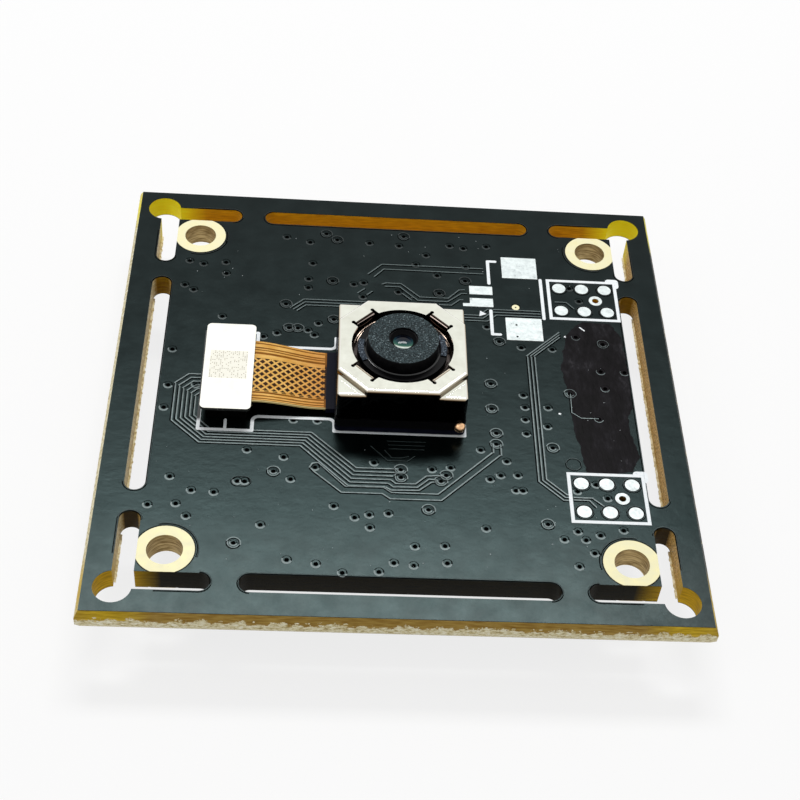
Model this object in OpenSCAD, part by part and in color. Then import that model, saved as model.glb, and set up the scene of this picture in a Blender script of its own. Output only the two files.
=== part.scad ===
// Small USB camera board: a scored 38 mm board with break-out slots, a square
// autofocus camera module on a short flex cable, and its electronics underneath.
// Origin: centre of the four mounting holes, on the board's underside. +Z is the
// way the lens looks, +Y is the edge that the underside plug connector faces.

/* [Circuit board] */
// Side of the square board at its widest, the web that the scoring leaves
board_side = 38; // [37:0.5:42]
// Finished thickness, with the solder mask on both faces
board_t = 1.6; // [1.2:0.1:2]
// Thickness of the solder mask
mask_t = 0.03; // [0.02:0.01:0.05]
// Depth of the scored groove on each face
score_depth = 0.5; // [0.3:0.05:0.55]
// How far the groove's wall leans in at the face
score_run = 0.25; // [0.1:0.05:0.4]

/* [Break-out slots] */
// Distance from the board's edge to the line of the slots
slot_inset = 2.5; // [2:0.1:2.7]
// Width of the routed slots
slot_w = 1.3; // [1:0.1:1.4]
// Distance from the centre to each tab that joins the frame to the inner board
tab_place = 10.5; // [9.5:0.1:11]
// Width of a tab between two slots
tab_w = 1.7; // [1.2:0.1:2.4]
// Distance from the board's edges to the centre of each corner hole
corner_hole_inset = 2; // [1.9:0.1:2.4]
// Diameter of the corner holes
corner_hole_d = 2.3; // [2:0.1:2.4]

/* [Mounting holes] */
// Distance from the board's edges to the centre of each plated hole
hole_inset = 4.8; // [4.6:0.1:5.6]
// Inside diameter of a plated hole
hole_d = 2.2; // [2:0.1:2.6]
// Diameter of the gold ring round a hole
ring_d = 3.6; // [3.2:0.1:4]
// Thickness of the plating on the hole's wall
plating_t = 0.05; // [0.03:0.01:0.08]
// Gap between the edge of a gold pad and the solder mask
ring_clear = 0.08; // [0.05:0.01:0.12]

/* [Front footprints] */
// How far tinned pads stand above the solder mask
pad_proud = 0.03; // [0.02:0.01:0.06]
// Gap between a tinned pad and the solder mask
pad_clear = 0.05; // [0.03:0.01:0.08]
// Distance from the board's right-hand edge to the empty two-pin wafer footprint
wafer_inset_x = 10.17; // [9.9:0.01:10.9]
// Distance from the board's far edge to the empty two-pin wafer footprint
wafer_inset_y = 9.95; // [9.4:0.05:10.4]
// Pitch of the wafer's signal pads, and of the plug connector's pins
wafer_pitch = 1.25; // [1:0.05:1.5]
// Distance between the wafer's two anchor pads
anchor_span = 6.3; // [5.8:0.1:6.6]
// Distance from the board's right-hand edge to the two empty microphone footprints
mic_inset_x = 5.75; // [5.7:0.05:6.1]
// Distance from the board's far and near edges to the microphone footprints
mic_inset_y = 9.9; // [9.6:0.1:10.4]
// Length of a microphone outline
mic_l = 4.85; // [4.6:0.05:5]
// Width of a microphone outline
mic_w = 3.9; // [3.6:0.1:4.2]
// Diameter of a microphone pad
mic_pad_d = 0.95; // [0.8:0.05:1.1]
// Pitch of the microphone pads along the outline
mic_pitch = 1.65; // [1.4:0.05:1.7]
// Distance between the two rows of microphone pads
mic_rows = 2.3; // [2:0.1:2.5]
// How far the gold test point lies to the left of the wafer footprint's centre
test_off_x = 0.48; // [0.2:0.02:0.6]
// How far the gold test point lies to the front of the wafer footprint's centre
test_off_y = 0.95; // [0.75:0.05:1.05]
// Diameter of the gold test point
test_d = 0.54; // [0.4:0.02:0.7]
// Width of the printed lines
print_w = 0.23; // [0.15:0.01:0.3]
// Thickness of the printed lines
print_t = 0.015; // [0.01:0.005:0.02]

/* [Camera module] */
// Side of the module's substrate and plastic base
module_w = 8.5; // [8.4:0.1:9]
// Radius of the module's upright corners
module_corner_r = 0.35; // [0.25:0.05:0.5]
// Thickness of the adhesive pad under the module
adhesive_t = 0.1; // [0.05:0.05:0.2]
// Thickness of the rigid substrate
substrate_t = 0.4; // [0.3:0.05:0.5]
// How far the substrate's tongue reaches out to take the flex cable
tongue_l = 0.6; // [0.4:0.05:0.8]
// Height of the base's outer wall
base_h = 0.7; // [0.65:0.05:0.9]
// How far the base's plug reaches up inside the can
plug_h = 0.3; // [0.2:0.05:0.35]
// Length of the image sensor
sensor_l = 5.0; // [4.4:0.1:5.6]
// Width of the image sensor
sensor_w = 4.2; // [3.6:0.1:5]
// Thickness of the image sensor
sensor_t = 0.2; // [0.15:0.05:0.25]
// Side of the infrared filter
filter_w = 6.0; // [5.6:0.1:6.4]
// Thickness of the infrared filter
filter_t = 0.21; // [0.15:0.01:0.25]

/* [Shield can] */
// Outside width of the can
can_w = 8.4; // [8.3:0.02:8.4]
// Height of the raised top above the board
can_top = 3.85; // [3.8:0.05:4]
// Thickness of the can's sheet
can_t = 0.15; // [0.12:0.01:0.18]
// Radius of the can's bent top edges
can_bend_r = 0.2; // [0.18:0.01:0.25]
// How far the four corners are set down below the top
corner_step = 0.45; // [0.4:0.01:0.5]
// How far each set-down corner reaches in along the side
corner_cut = 1.9; // [1.7:0.05:1.95]
// Radius of the opening round the lens
opening_r = 3.33; // [3.3:0.01:3.36]
// Distance from the centre to the fold of each inner flap
flap_fold = 3.58; // [3.5:0.01:3.62]
// Width of an inner flap
flap_w = 1.54; // [1.3:0.02:1.6]
// How far an inner flap reaches down from the top
flap_drop = 0.5; // [0.4:0.01:0.52]
// Width of the relief slots beside each flap
relief_w = 0.2; // [0.15:0.01:0.24]
// How far a relief slot runs out past the fold
relief_past = 0.1; // [0.06:0.01:0.14]

/* [Focus mechanism] */
// Thickness of the leaf springs
spring_t = 0.05; // [0.03:0.01:0.06]
// Inside radius of the leaf springs' frames
spring_in_r = 3.18; // [3.16:0.01:3.2]
// Width of a spring arm
arm_w = 0.06; // [0.05:0.01:0.07]
// Outside radius of the lens carrier
carrier_r = 2.93; // [2.9:0.01:2.95]
// Height of the lens carrier's rim above the board
carrier_top = 3.6; // [3.5:0.01:3.65]
// Height of the two glue pads on the carrier's rim
glue_pad_h = 0.1; // [0.05:0.01:0.12]
// Thickness of the coil's winding
coil_t = 0.27; // [0.2:0.01:0.29]
// Height of the coil's winding
coil_h = 1.0; // [0.7:0.05:1.05]
// Running gap between the coil and the magnets
coil_gap = 0.2; // [0.12:0.01:0.22]
// How far the lens travels when it focuses
focus_travel = 0.25; // [0.15:0.01:0.28]
// Gap under the carrier when the lens is at rest
rest_gap = 0.1; // [0.05:0.01:0.12]

/* [Lens] */
// Radius of the barrel's front
barrel_r = 2.32; // [2.2:0.01:2.34]
// Radius of the barrel's glued lower part
barrel_low_r = 2.41; // [2.38:0.01:2.43]
// Height of the barrel's front face above the board
barrel_top = 4.56; // [4.4:0.01:4.7]
// Radius of the barrel's recess at the front face
recess_r = 0.94; // [0.85:0.01:1.05]
// Depth of the tapered recess
recess_depth = 0.34; // [0.28:0.01:0.4]
// Radius of the aperture at the bottom of the recess
aperture_r = 0.65; // [0.55:0.01:0.75]
// Radius of the front lens element
lens_1_r = 1.25; // [1.1:0.01:1.3]
// How much wider each further lens element is
lens_grow = 0.24; // [0.15:0.01:0.26]
// Thickness of each lens element at its rim
lens_rim_t = 0.48; // [0.4:0.01:0.5]
// Glue gap round the barrel, and between other close pieces
fit_gap = 0.02; // [0.01:0.005:0.03]

/* [Flex cable] */
// Width of the flex cable at the connector
flex_w = 5.45; // [5:0.05:5.8]
// Width of the flex cable where it meets the module
flex_end_w = 5.05; // [4.6:0.05:5.4]
// Thickness of the flex cable
flex_t = 0.12; // [0.08:0.01:0.16]
// How far the flex cable's middle lies to the front of the module's middle
flex_off = 0.17; // [0:0.01:0.3]
// Height of the flex cable's upper face where it meets the module
flex_end_z = 0.46; // [0.44:0.01:0.48]

/* [Flex connector] */
// Place of the connector along X, left of the module
conn_x = -11.27; // [-11.6:0.05:-10.9]
// Width of the steel stiffener
stiff_w = 3.25; // [3:0.05:3.5]
// Length of the steel stiffener
stiff_l = 7.7; // [7:0.1:8]
// Thickness of the steel stiffener
stiff_t = 0.22; // [0.15:0.01:0.3]
// Radius of the stiffener's corners
stiff_corner_r = 0.32; // [0.2:0.02:0.5]
// Width of the socket
socket_w = 2.6; // [2.5:0.05:2.7]
// Length of the socket
socket_l = 6.8; // [6.4:0.1:7]
// Height of the socket
socket_h = 0.75; // [0.7:0.01:0.8]
// Height of the flex cable's underside over the board at the connector
mated_h = 1.03; // [0.95:0.01:1.1]
// Thickness of the socket's walls and floor
socket_wall = 0.3; // [0.25:0.01:0.32]
// Gap between the plug and the socket
mate_gap = 0.07; // [0.06:0.005:0.08]
// Pitch of the contacts
contact_pitch = 0.4; // [0.35:0.01:0.45]
// Number of contacts in each row
contact_count = 12; // [6:1:13]
// Width of a contact
contact_w = 0.16; // [0.12:0.01:0.2]
// Thickness of a contact's strip
contact_t = 0.045; // [0.03:0.005:0.05]

/* [Underside parts] */
// Side of the image processor
proc_w = 6; // [5.8:0.1:7]
// Thickness of the image processor
proc_h = 0.85; // [0.75:0.05:1]
// Pads along each side of the image processor
proc_pads = 10; // [6:1:10]
// Pitch of the image processor's pads
proc_pitch = 0.5; // [0.4:0.05:0.5]
// Length of the flash memory's body
flash_l = 4.9; // [4.6:0.1:5.3]
// Width of the flash memory's body
flash_w = 3.9; // [3.6:0.1:4.2]
// Height of the flash memory
flash_h = 1.5; // [1.3:0.1:1.7]
// Length of a voltage regulator's body
reg_l = 2.9; // [2.7:0.1:3.1]
// Width of a voltage regulator's body
reg_w = 1.6; // [1.4:0.1:1.8]
// Height of a voltage regulator
reg_h = 1.1; // [1:0.1:1.3]
// Length of the crystal
crystal_l = 3.2; // [2.8:0.1:3.4]
// Width of the crystal
crystal_w = 2.5; // [2.2:0.1:2.6]
// Height of the crystal
crystal_h = 0.75; // [0.6:0.05:0.9]
// Side of the power inductor
coil_body_w = 4; // [3.6:0.1:4.2]
// Height of the power inductor
coil_body_h = 1.9; // [1.6:0.1:2.4]
// Length of the chip capacitors
cap_l = 1.0; // [0.9:0.05:1.1]
// Width and height of the chip capacitors
cap_w = 0.5; // [0.45:0.05:0.6]
// Length of the larger bulk capacitors
bulk_l = 1.6; // [1.5:0.05:1.7]
// Width and height of the bulk capacitors
bulk_w = 0.8; // [0.7:0.05:0.9]
// Height of the chip resistors
res_h = 0.32; // [0.25:0.01:0.4]

/* [Plug connector underneath] */
// Number of pins
pin_count = 4; // [3:1:5]
// Width of the housing beyond its outer pins, both sides together
housing_extra = 3; // [2.8:0.1:3.4]
// Depth of the housing
housing_l = 4.2; // [4:0.1:4.6]
// Height of the housing
housing_h = 3.4; // [3.2:0.1:3.6]
// Thickness of the housing's walls
housing_wall = 0.6; // [0.5:0.05:0.7]
// Thickness of the housing's back wall
housing_back = 1.0; // [0.8:0.1:1.2]
// Side of the square pins
pin_w = 0.4; // [0.3:0.02:0.5]
// Gap between the housing's mouth and the inner board's edge
mouth_gap = 0.35; // [0.2:0.05:0.6]

/* [Hidden] */
$fn = 48;
eps = 0.01;

// Heights above the board's underside
face_z = board_t;
pad_t = mask_t + pad_proud;
substrate_z = face_z + adhesive_t;
base_z = substrate_z + substrate_t;
can_z = base_z + base_h;
base_top_z = can_z + plug_h;
can_top_z = face_z + can_top;
corner_z = can_top_z - corner_step;
magnet_top_z = corner_z - can_t;
spring_top_z = magnet_top_z + spring_t;
flex_z = face_z + mated_h;
barrel_top_z = face_z + barrel_top;
carrier_top_z = face_z + carrier_top;
carrier_z = base_top_z + rest_gap;
aperture_z = barrel_top_z - recess_depth;

// Places in plan, worked out from the board's edges
board_half = board_side / 2;
slot_line = board_half - slot_inset;
inner_edge = slot_line - slot_w / 2;
corner_hole_place = board_half - corner_hole_inset;
hole_place = board_half - hole_inset;
wafer_x = board_half - wafer_inset_x;
wafer_y = board_half - wafer_inset_y;
mic_x = board_half - mic_inset_x;
mic_y = board_half - mic_inset_y;
test_x = wafer_x - test_off_x;
test_y = wafer_y - test_off_y;

// Sizes in plan that several pieces share
slot_end = tab_place - tab_w / 2 - slot_w / 2;
corner_slot_start = tab_place + tab_w / 2 + slot_w / 2;
can_in_w = can_w - 2 * can_t;
diagonal_cut = (can_w - corner_cut) / sqrt(2);
coil_r = carrier_r + coil_t;
magnet_in = coil_r + coil_gap;
coil_z = magnet_top_z - focus_travel - 0.1 - coil_h;
light_r = 2.55;
wall_past = 20;

// Pads of the two-pin wafer footprint: signal pads to the left, anchor pads beside it
signal_pad = [1.65, 0.9];
anchor_pad = [2.55, 2.2];
signal_x = wafer_x - 2.89;
signal_trim = 0.05;
tail_l = 0.5;
tail_w = 0.3;
tail_drop = 0.4;
mic_port_off = 0.9;
mic_port_d = 0.95;
mic_port_hole_d = 0.48;

// Places of the parts underneath
proc_place = [-1.5, -0.5];
flash_place = [8.2, 0.5];
crystal_place = [-9.3, -2.5];
inductor_place = [0.5, 3.85 - inner_edge];
reg_places = [[inner_edge - 6.45, 8.45 - inner_edge], [7.25 - inner_edge, 6.85 - inner_edge],
    [inner_edge - 6.65, inner_edge - 7.65]];

// Bulk capacitors stand in pairs, beside each regulator and beside the inductor
reg_cap_gap = 3.4;
inductor_cap_gap = 3.7;
bulk_places = concat(
    [for (place = reg_places, side = [-1, 1]) place + [side * reg_cap_gap, 0]],
    [for (side = [-1, 1]) inductor_place + [side * inductor_cap_gap, 0]]);
housing_w = (pin_count - 1) * wafer_pitch + housing_extra;
housing_place = [0, inner_edge - mouth_gap - housing_l / 2];
pin_mid_z = housing_h / 2;
lead_t = 0.15;
cap_ring_step = 1.5;
cap_ring_gap = 1.3;
res_count = 6;
res_step = 1.5;
res_place = [-10.2, 7.2];

// ---- plan shapes ----

module round_rect(w, l, r) {
    square([w - 2 * r, l], center = true);
    square([w, l - 2 * r], center = true);
    for (x = [-1, 1], y = [-1, 1])
        translate([x * (w / 2 - r), y * (l / 2 - r)]) circle(r);
}

module stroke(from, to, w) {
    run = to - from;
    translate(from) rotate(atan2(run[1], run[0])) {
        translate([0, -w / 2]) square([norm(run), w]);
        circle(d = w, $fn = 24);
        translate([norm(run), 0]) circle(d = w, $fn = 24);
    }
}

// A printed bend: a quarter turn of line about its centre
module print_bend(centre, r, turn) {
    translate(centre) rotate(turn) intersection() {
        difference() {
            circle(r + print_w / 2);
            circle(r - print_w / 2);
        }
        square(r + print_w);
    }
}

module octagon(w, diagonal) {
    intersection() {
        square(w, center = true);
        rotate(45) square(2 * diagonal, center = true);
    }
}

module ring_sector(r_in, r_out, from, to) {
    intersection() {
        difference() {
            circle(r_out, $fn = 96);
            circle(r_in, $fn = 96);
        }
        polygon([[0, 0], for (i = [0:4]) let (a = from + (to - from) * i / 4)
            2 * r_out * [cos(a), sin(a)]]);
    }
}

module slots_2d() {
    for (turn = [0, 90, 180, 270]) rotate(turn) {
        stroke([-slot_end, slot_line], [slot_end, slot_line], slot_w);
        stroke([corner_slot_start, slot_line], [corner_hole_place, slot_line], slot_w);
        stroke([-corner_slot_start, slot_line], [-corner_hole_place, slot_line], slot_w);
        translate([corner_hole_place, corner_hole_place]) circle(d = corner_hole_d);
    }
}

module at_mounting_holes() {
    for (x = [-1, 1], y = [-1, 1]) translate([x * hole_place, y * hole_place]) children();
}

module wafer_pads_2d(grow = 0) {
    for (side = [-1, 1]) {
        translate([signal_x, wafer_y + side * wafer_pitch / 2])
            square([signal_pad[0] + 2 * grow, signal_pad[1] - signal_trim + 2 * grow], center = true);
        translate([wafer_x, wafer_y + side * anchor_span / 2])
            square([anchor_pad[0] + 2 * grow, anchor_pad[1] + 2 * grow], center = true);
    }
}

module at_microphones() {
    for (side = [-1, 1]) translate([mic_x, side * mic_y]) children();
}

module mic_pads_2d(grow = 0) {
    for (i = [-1:1], row = [-1, 1])
        translate([i * mic_pitch, row * mic_rows / 2]) circle(d = mic_pad_d + 2 * grow);
    translate([mic_port_off, 0]) circle(d = mic_port_d + 2 * grow);
}

// Score-edged slab of the board between two heights, with its slots and corner holes
module board_slab(z0, z1) {
    difference() {
        intersection() {
            intersection_for (turn = [0, 90]) rotate([90, 0, turn])
                linear_extrude(board_side + 2, center = true) polygon([
                    [-board_half + score_run, 0], [board_half - score_run, 0],
                    [board_half, score_depth], [board_half, board_t - score_depth],
                    [board_half - score_run, board_t], [-board_half + score_run, board_t],
                    [-board_half, board_t - score_depth], [-board_half, score_depth]]);
            translate([-board_side, -board_side, z0])
                cube([2 * board_side, 2 * board_side, z1 - z0]);
        }
        translate([0, 0, -1]) linear_extrude(board_t + 2) slots_2d();
    }
}

// ---- the board and what is plated or printed on it ----

module circuit_board() {
    color([0.55, 0.42, 0.12]) difference() {
        board_slab(mask_t, board_t - mask_t);
        at_mounting_holes() translate([0, 0, -1]) cylinder(d = hole_d + 2 * plating_t, h = board_t + 2);
        at_microphones() translate([mic_port_off, 0, -1])
            cylinder(d = mic_port_hole_d, h = board_t + 2);
    }
}

module solder_mask_front() {
    color([0.12, 0.15, 0.16]) difference() {
        board_slab(board_t - mask_t, board_t);
        translate([0, 0, board_t / 2]) linear_extrude(board_t) {
            at_mounting_holes() circle(d = ring_d + 2 * ring_clear);
            wafer_pads_2d(pad_clear);
            translate([signal_x - signal_pad[0] / 2 - tail_l, wafer_y - wafer_pitch / 2 - tail_drop])
                square([tail_l, tail_w]);
            at_microphones() mic_pads_2d(pad_clear);
            translate([test_x, test_y]) circle(d = test_d + 2 * ring_clear);
        }
    }
}

module solder_mask_back() {
    color([0.12, 0.15, 0.16]) difference() {
        board_slab(0, mask_t);
        translate([0, 0, -board_t / 2]) linear_extrude(board_t) {
            at_mounting_holes() circle(d = ring_d + 2 * ring_clear);
            at_microphones() translate([mic_port_off, 0]) circle(d = mic_port_hole_d);
            back_pads_2d();
            translate(proc_place) proc_windows_2d();
        }
    }
}

module mounting_hole_plating() {
    color([0.95, 0.86, 0.6]) difference() {
        at_mounting_holes() {
            cylinder(d = hole_d + 2 * plating_t, h = board_t);
            cylinder(d = ring_d, h = mask_t);
            translate([0, 0, board_t - mask_t]) cylinder(d = ring_d, h = mask_t);
        }
        at_mounting_holes() translate([0, 0, -1]) cylinder(d = hole_d, h = board_t + 2);
        translate([0, 0, -1]) linear_extrude(board_t + 2) slots_2d();
    }
}

module wafer_pads() {
    color([0.86, 0.88, 0.9]) translate([0, 0, board_t - mask_t]) {
        linear_extrude(pad_t) wafer_pads_2d();
        translate([signal_x - signal_pad[0] / 2 - tail_l, wafer_y - wafer_pitch / 2 - tail_drop, 0])
            cube([tail_l + eps, tail_w, mask_t]);
    }
}

module microphone_pads() {
    color([0.88, 0.9, 0.92]) translate([0, 0, board_t - mask_t])
        linear_extrude(pad_t) difference() {
            at_microphones() mic_pads_2d();
            at_microphones() translate([mic_port_off, 0]) circle(d = mic_port_hole_d);
        }
}

module test_point() {
    color([0.9, 0.75, 0.35]) translate([test_x, test_y, board_t - mask_t])
        cylinder(d = test_d, h = mask_t);
}

// Outline printed round the module, the cable and its connector, in one line
module module_outline_2d() {
    half = module_w / 2;
    conn_half = stiff_w / 2 + 0.1;
    conn_end = stiff_l / 2 + 0.6;
    cable_half = flex_w / 2 + 0.48;
    left = conn_x - conn_half;
    right = conn_x + conn_half;
    bend = 0.4;
    stroke([left, -conn_end], [left, conn_end], print_w);
    stroke([half, -half], [half, half], print_w);
    stroke([conn_x, -conn_end], [conn_x, -conn_end + 0.85], print_w * 0.8);
    for (side = [-1, 1]) {
        stroke([left, side * conn_end], [right, side * conn_end], print_w);
        stroke([right, side * conn_end], [right, side * (cable_half + bend)], print_w);
        stroke([right + bend, side * cable_half], [-half - bend, side * cable_half], print_w);
        stroke([-half, side * (cable_half + bend)], [-half, side * half], print_w);
        stroke([-half, side * half], [half, side * half], print_w);
        mirror([0, side < 0 ? 1 : 0]) {
            print_bend([right + bend, cable_half + bend], bend, 180);
            print_bend([-half - bend, cable_half + bend], bend, 270);
        }
    }
}

module wafer_outline_2d() {
    line_x = signal_x + signal_pad[0] / 2 - 0.2;
    reach = anchor_span / 2 + 0.6;
    back_x = wafer_x + anchor_pad[0] / 2 + 0.2;
    for (side = [-1, 1]) {
        stroke([line_x, wafer_y + side * 1.4], [line_x, wafer_y + side * reach], print_w);
        stroke([line_x, wafer_y + side * reach], [line_x + 0.55, wafer_y + side * reach], print_w);
    }
    stroke([back_x, wafer_y - 2], [back_x, wafer_y + 2], print_w);
    translate([signal_x - 0.22, wafer_y - 2.0]) polygon([[0, 0], [0.08, 0.55], [0.52, 0.25]]);
}

module mic_outline_2d() {
    difference() {
        square([mic_l + print_w, mic_w + print_w], center = true);
        square([mic_l - print_w, mic_w - print_w], center = true);
        translate([mic_pitch, mic_rows / 2]) circle(d = mic_pad_d + 0.16);
    }
    difference() {
        translate([mic_l / 2 - 0.15, mic_w / 2 - 0.1]) round_rect(0.95, 0.95, 0.25);
        translate([mic_pitch, mic_rows / 2]) circle(d = mic_pad_d + 0.16);
        square([mic_l - print_w, mic_w - print_w], center = true);
    }
}

module silkscreen_front() {
    color([0.92, 0.95, 0.97]) translate([0, 0, board_t]) linear_extrude(print_t) {
        module_outline_2d();
        wafer_outline_2d();
        at_microphones() mic_outline_2d();
    }
}

// ---- the camera module, from the board up ----

module module_adhesive() {
    color([0.2, 0.2, 0.21]) translate([0, 0, face_z + print_t])
        linear_extrude(adhesive_t - print_t) round_rect(module_w - 0.8, module_w - 0.8, module_corner_r);
}

module module_substrate() {
    color([0.11, 0.11, 0.16]) translate([0, 0, substrate_z]) linear_extrude(substrate_t) {
        round_rect(module_w, module_w, module_corner_r);
        translate([-module_w / 2 - tongue_l, -flex_off - flex_end_w / 2 - 0.05])
            square([tongue_l + 1, flex_end_w + 0.1]);
    }
}

module image_sensor() {
    color([0.2, 0.22, 0.3]) translate([-sensor_l / 2, -sensor_w / 2, base_z])
        cube([sensor_l, sensor_w, sensor_t]);
}

// Plastic base: a wall that the can stands on, a plug inside it and a shelf for the filter
module actuator_base() {
    filter_top = base_z + base_h - 0.1;
    plug_w = can_in_w - 2 * fit_gap;
    color([0.07, 0.07, 0.08]) difference() {
        union() {
            translate([0, 0, base_z]) linear_extrude(base_h)
                round_rect(module_w, module_w, module_corner_r);
            translate([0, 0, base_z]) linear_extrude(base_h + plug_h)
                round_rect(plug_w, plug_w, module_corner_r - can_t);
        }
        translate([0, 0, base_z - 1]) linear_extrude(filter_top - base_z + 1)
            square(filter_w + 2 * fit_gap, center = true);
        cylinder(r = light_r, h = base_top_z + 1);
    }
}

module infrared_filter() {
    color([0.45, 0.75, 0.78, 0.6])
        translate([-filter_w / 2, -filter_w / 2, base_z + base_h - 0.1 - filter_t])
        cube([filter_w, filter_w, filter_t]);
}

// Leaf spring: a frame with four arms that run round inside its opening
module leaf_spring_2d() {
    arm_out = (carrier_r + spring_in_r) / 2 + arm_w / 2;
    difference() {
        octagon(can_in_w - 0.2, diagonal_cut - can_t - 0.1);
        circle(spring_in_r, $fn = 96);
    }
    for (turn = [0:90:270]) {
        ring_sector(arm_out - arm_w, arm_out, turn + 10, turn + 75);
        ring_sector(arm_out - arm_w, spring_in_r + 0.05, turn + 10, turn + 13);
    }
}

module lower_spring() {
    color([0.75, 0.55, 0.38]) translate([0, 0, base_top_z]) linear_extrude(spring_t) leaf_spring_2d();
}

module upper_spring() {
    color([0.9, 0.75, 0.62]) translate([0, 0, magnet_top_z]) linear_extrude(spring_t) leaf_spring_2d();
}

module corner_magnets() {
    foot_z = base_top_z + spring_t;
    color([0.5, 0.5, 0.52]) translate([0, 0, foot_z]) linear_extrude(magnet_top_z - foot_z)
        intersection() {
            round_rect(can_in_w - 2 * fit_gap, can_in_w - 2 * fit_gap, module_corner_r - can_t);
            for (turn = [45:90:315]) rotate(turn)
                translate([magnet_in, -1.9]) square([3, 3.8]);
        }
}

// Plastic frame that clamps the upper spring under the can's top
module spring_spacer() {
    color([0.05, 0.05, 0.06]) translate([0, 0, spring_top_z])
        linear_extrude(can_top_z - can_t - spring_top_z) difference() {
            octagon(can_in_w - 0.1, diagonal_cut - can_t - 0.05);
            circle(opening_r + 0.03, $fn = 96);
            for (turn = [45:90:315]) rotate(turn)
                translate([0, -flap_w / 2 - 0.35]) square([flap_fold + 0.15, flap_w + 0.7]);
        }
}

// Bar with rounded upper edges: several of them, crossed, give a can with bent edges
module bent_bar(w, z0, z1, r, turn) {
    rotate([90, 0, turn]) linear_extrude(wall_past, center = true) {
        translate([-w / 2, z0]) square([w, z1 - r - z0]);
        translate([-w / 2 + r, z0]) square([w - 2 * r, z1 - z0]);
        for (side = [-1, 1]) translate([side * (w / 2 - r), z1 - r]) circle(r);
    }
}

// Solid form of the can: a square body with set-down corners under an octagonal top
module can_form(inset, z0) {
    w = can_w - 2 * inset;
    r = can_bend_r - inset;
    intersection() {
        intersection_for (turn = [0, 90]) bent_bar(w, z0, corner_z - inset, r, turn);
        translate([0, 0, z0]) linear_extrude(can_top) round_rect(w, w, module_corner_r - inset);
    }
    intersection() {
        intersection_for (turn = [0, 90]) bent_bar(w, z0, can_top_z - inset, r, turn);
        intersection_for (turn = [45, 135])
            bent_bar(2 * (diagonal_cut - inset), z0, can_top_z - inset, r, turn);
    }
}

// A flap of the top, folded down along a chord of the opening
module inner_flap() {
    fold_r = can_bend_r + 0.05;
    translate([0, flap_w / 2, 0]) rotate([90, 0, 0]) linear_extrude(flap_w) {
        translate([flap_fold, can_top_z - fold_r]) intersection() {
            difference() {
                circle(fold_r);
                circle(fold_r - can_t);
            }
            translate([-1, 0]) square(1);
        }
        translate([flap_fold - fold_r, can_top_z - flap_drop])
            square([can_t, flap_drop - fold_r + eps]);
    }
}

module shield_can() {
    slot_y = flap_w / 2 + relief_w / 2;
    notch_w = 0.7;
    notch_h = 0.15;
    color([0.82, 0.8, 0.74]) {
        difference() {
            can_form(0, can_z);
            can_form(can_t, can_z - 1);
            translate([0, 0, can_top_z - 0.6]) linear_extrude(1) {
                circle(opening_r, $fn = 96);
                for (turn = [45:90:315]) rotate(turn) {
                    translate([0, -slot_y]) square([flap_fold, 2 * slot_y]);
                    for (side = [-1, 1]) {
                        translate([0, side * slot_y - relief_w / 2])
                            square([flap_fold + relief_past, relief_w]);
                        translate([flap_fold + relief_past, side * slot_y])
                            circle(d = relief_w + 0.06);
                    }
                }
            }
            for (turn = [0:90:270], side = [-1, 1]) rotate(turn)
                translate([side * 2.2 - notch_w / 2, -can_w / 2 - 1, can_z - 1])
                cube([notch_w, 2, 1 + notch_h]);
        }
        for (turn = [45:90:315]) rotate(turn) inner_flap();
    }
}

blob_r = 0.38;
blob_off = 0.05;

// Solder on the coil's two terminals, at the ends of the right-hand side
module terminal_solder() {
    color([0.85, 0.55, 0.3]) for (side = [-1, 1]) difference() {
        translate([module_w / 2 - module_corner_r - blob_off, side * module_w / 2, base_z + blob_r])
            sphere(blob_r);
        translate([-wall_past / 2, -module_w / 2, 0]) cube([wall_past, module_w, wall_past]);
    }
}

// ---- the moving lens ----

module lens_carrier() {
    foot_h = 0.25;
    color([0.06, 0.06, 0.07]) difference() {
        union() {
            translate([0, 0, carrier_z]) cylinder(r = carrier_r, h = carrier_top_z - carrier_z, $fn = 96);
            translate([0, 0, coil_z - foot_h]) cylinder(r = carrier_r + 0.12, h = foot_h, $fn = 96);
            for (turn = [7, 187]) rotate(turn) translate([0, 0, carrier_top_z - eps])
                linear_extrude(glue_pad_h + eps)
                ring_sector(barrel_low_r + 0.12, carrier_r - 0.02, -20, 20);
        }
        cylinder(r = barrel_low_r + fit_gap, h = wall_past, $fn = 96);
    }
}

module voice_coil() {
    color([0.72, 0.42, 0.2]) translate([0, 0, coil_z]) difference() {
        cylinder(r = coil_r, h = coil_h, $fn = 96);
        translate([0, 0, -1]) cylinder(r = carrier_r, h = coil_h + 2, $fn = 96);
    }
}

function element_r(i) = lens_1_r + lens_grow * (i - 1);
function element_top(i) = aperture_z - 0.03 - lens_rim_t * (i - 1);

module lens_barrel() {
    front_edge = 0.05;
    seat_z = element_top(5);
    bottom_z = carrier_z + 0.1;
    shoulder_z = carrier_top_z - 0.05;
    color([0.1, 0.11, 0.12]) rotate_extrude($fn = 96) difference() {
        union() {
            translate([0, bottom_z]) square([barrel_low_r, shoulder_z - bottom_z]);
            translate([0, bottom_z]) square([barrel_r, barrel_top_z - front_edge - bottom_z]);
            translate([0, bottom_z]) square([barrel_r - front_edge, barrel_top_z - bottom_z]);
        }
        polygon([[-1, aperture_z - 0.05], [aperture_r, aperture_z - 0.05], [aperture_r, aperture_z],
            [recess_r, barrel_top_z], [recess_r, barrel_top_z + 1], [-1, barrel_top_z + 1]]);
        for (i = [1:4]) translate([-1, element_top(i + 1)])
            square([1 + element_r(i) + fit_gap / 2, lens_rim_t]);
        translate([-1, 0]) square([1 + element_r(4) + fit_gap / 2, seat_z + eps]);
    }
}

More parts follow.
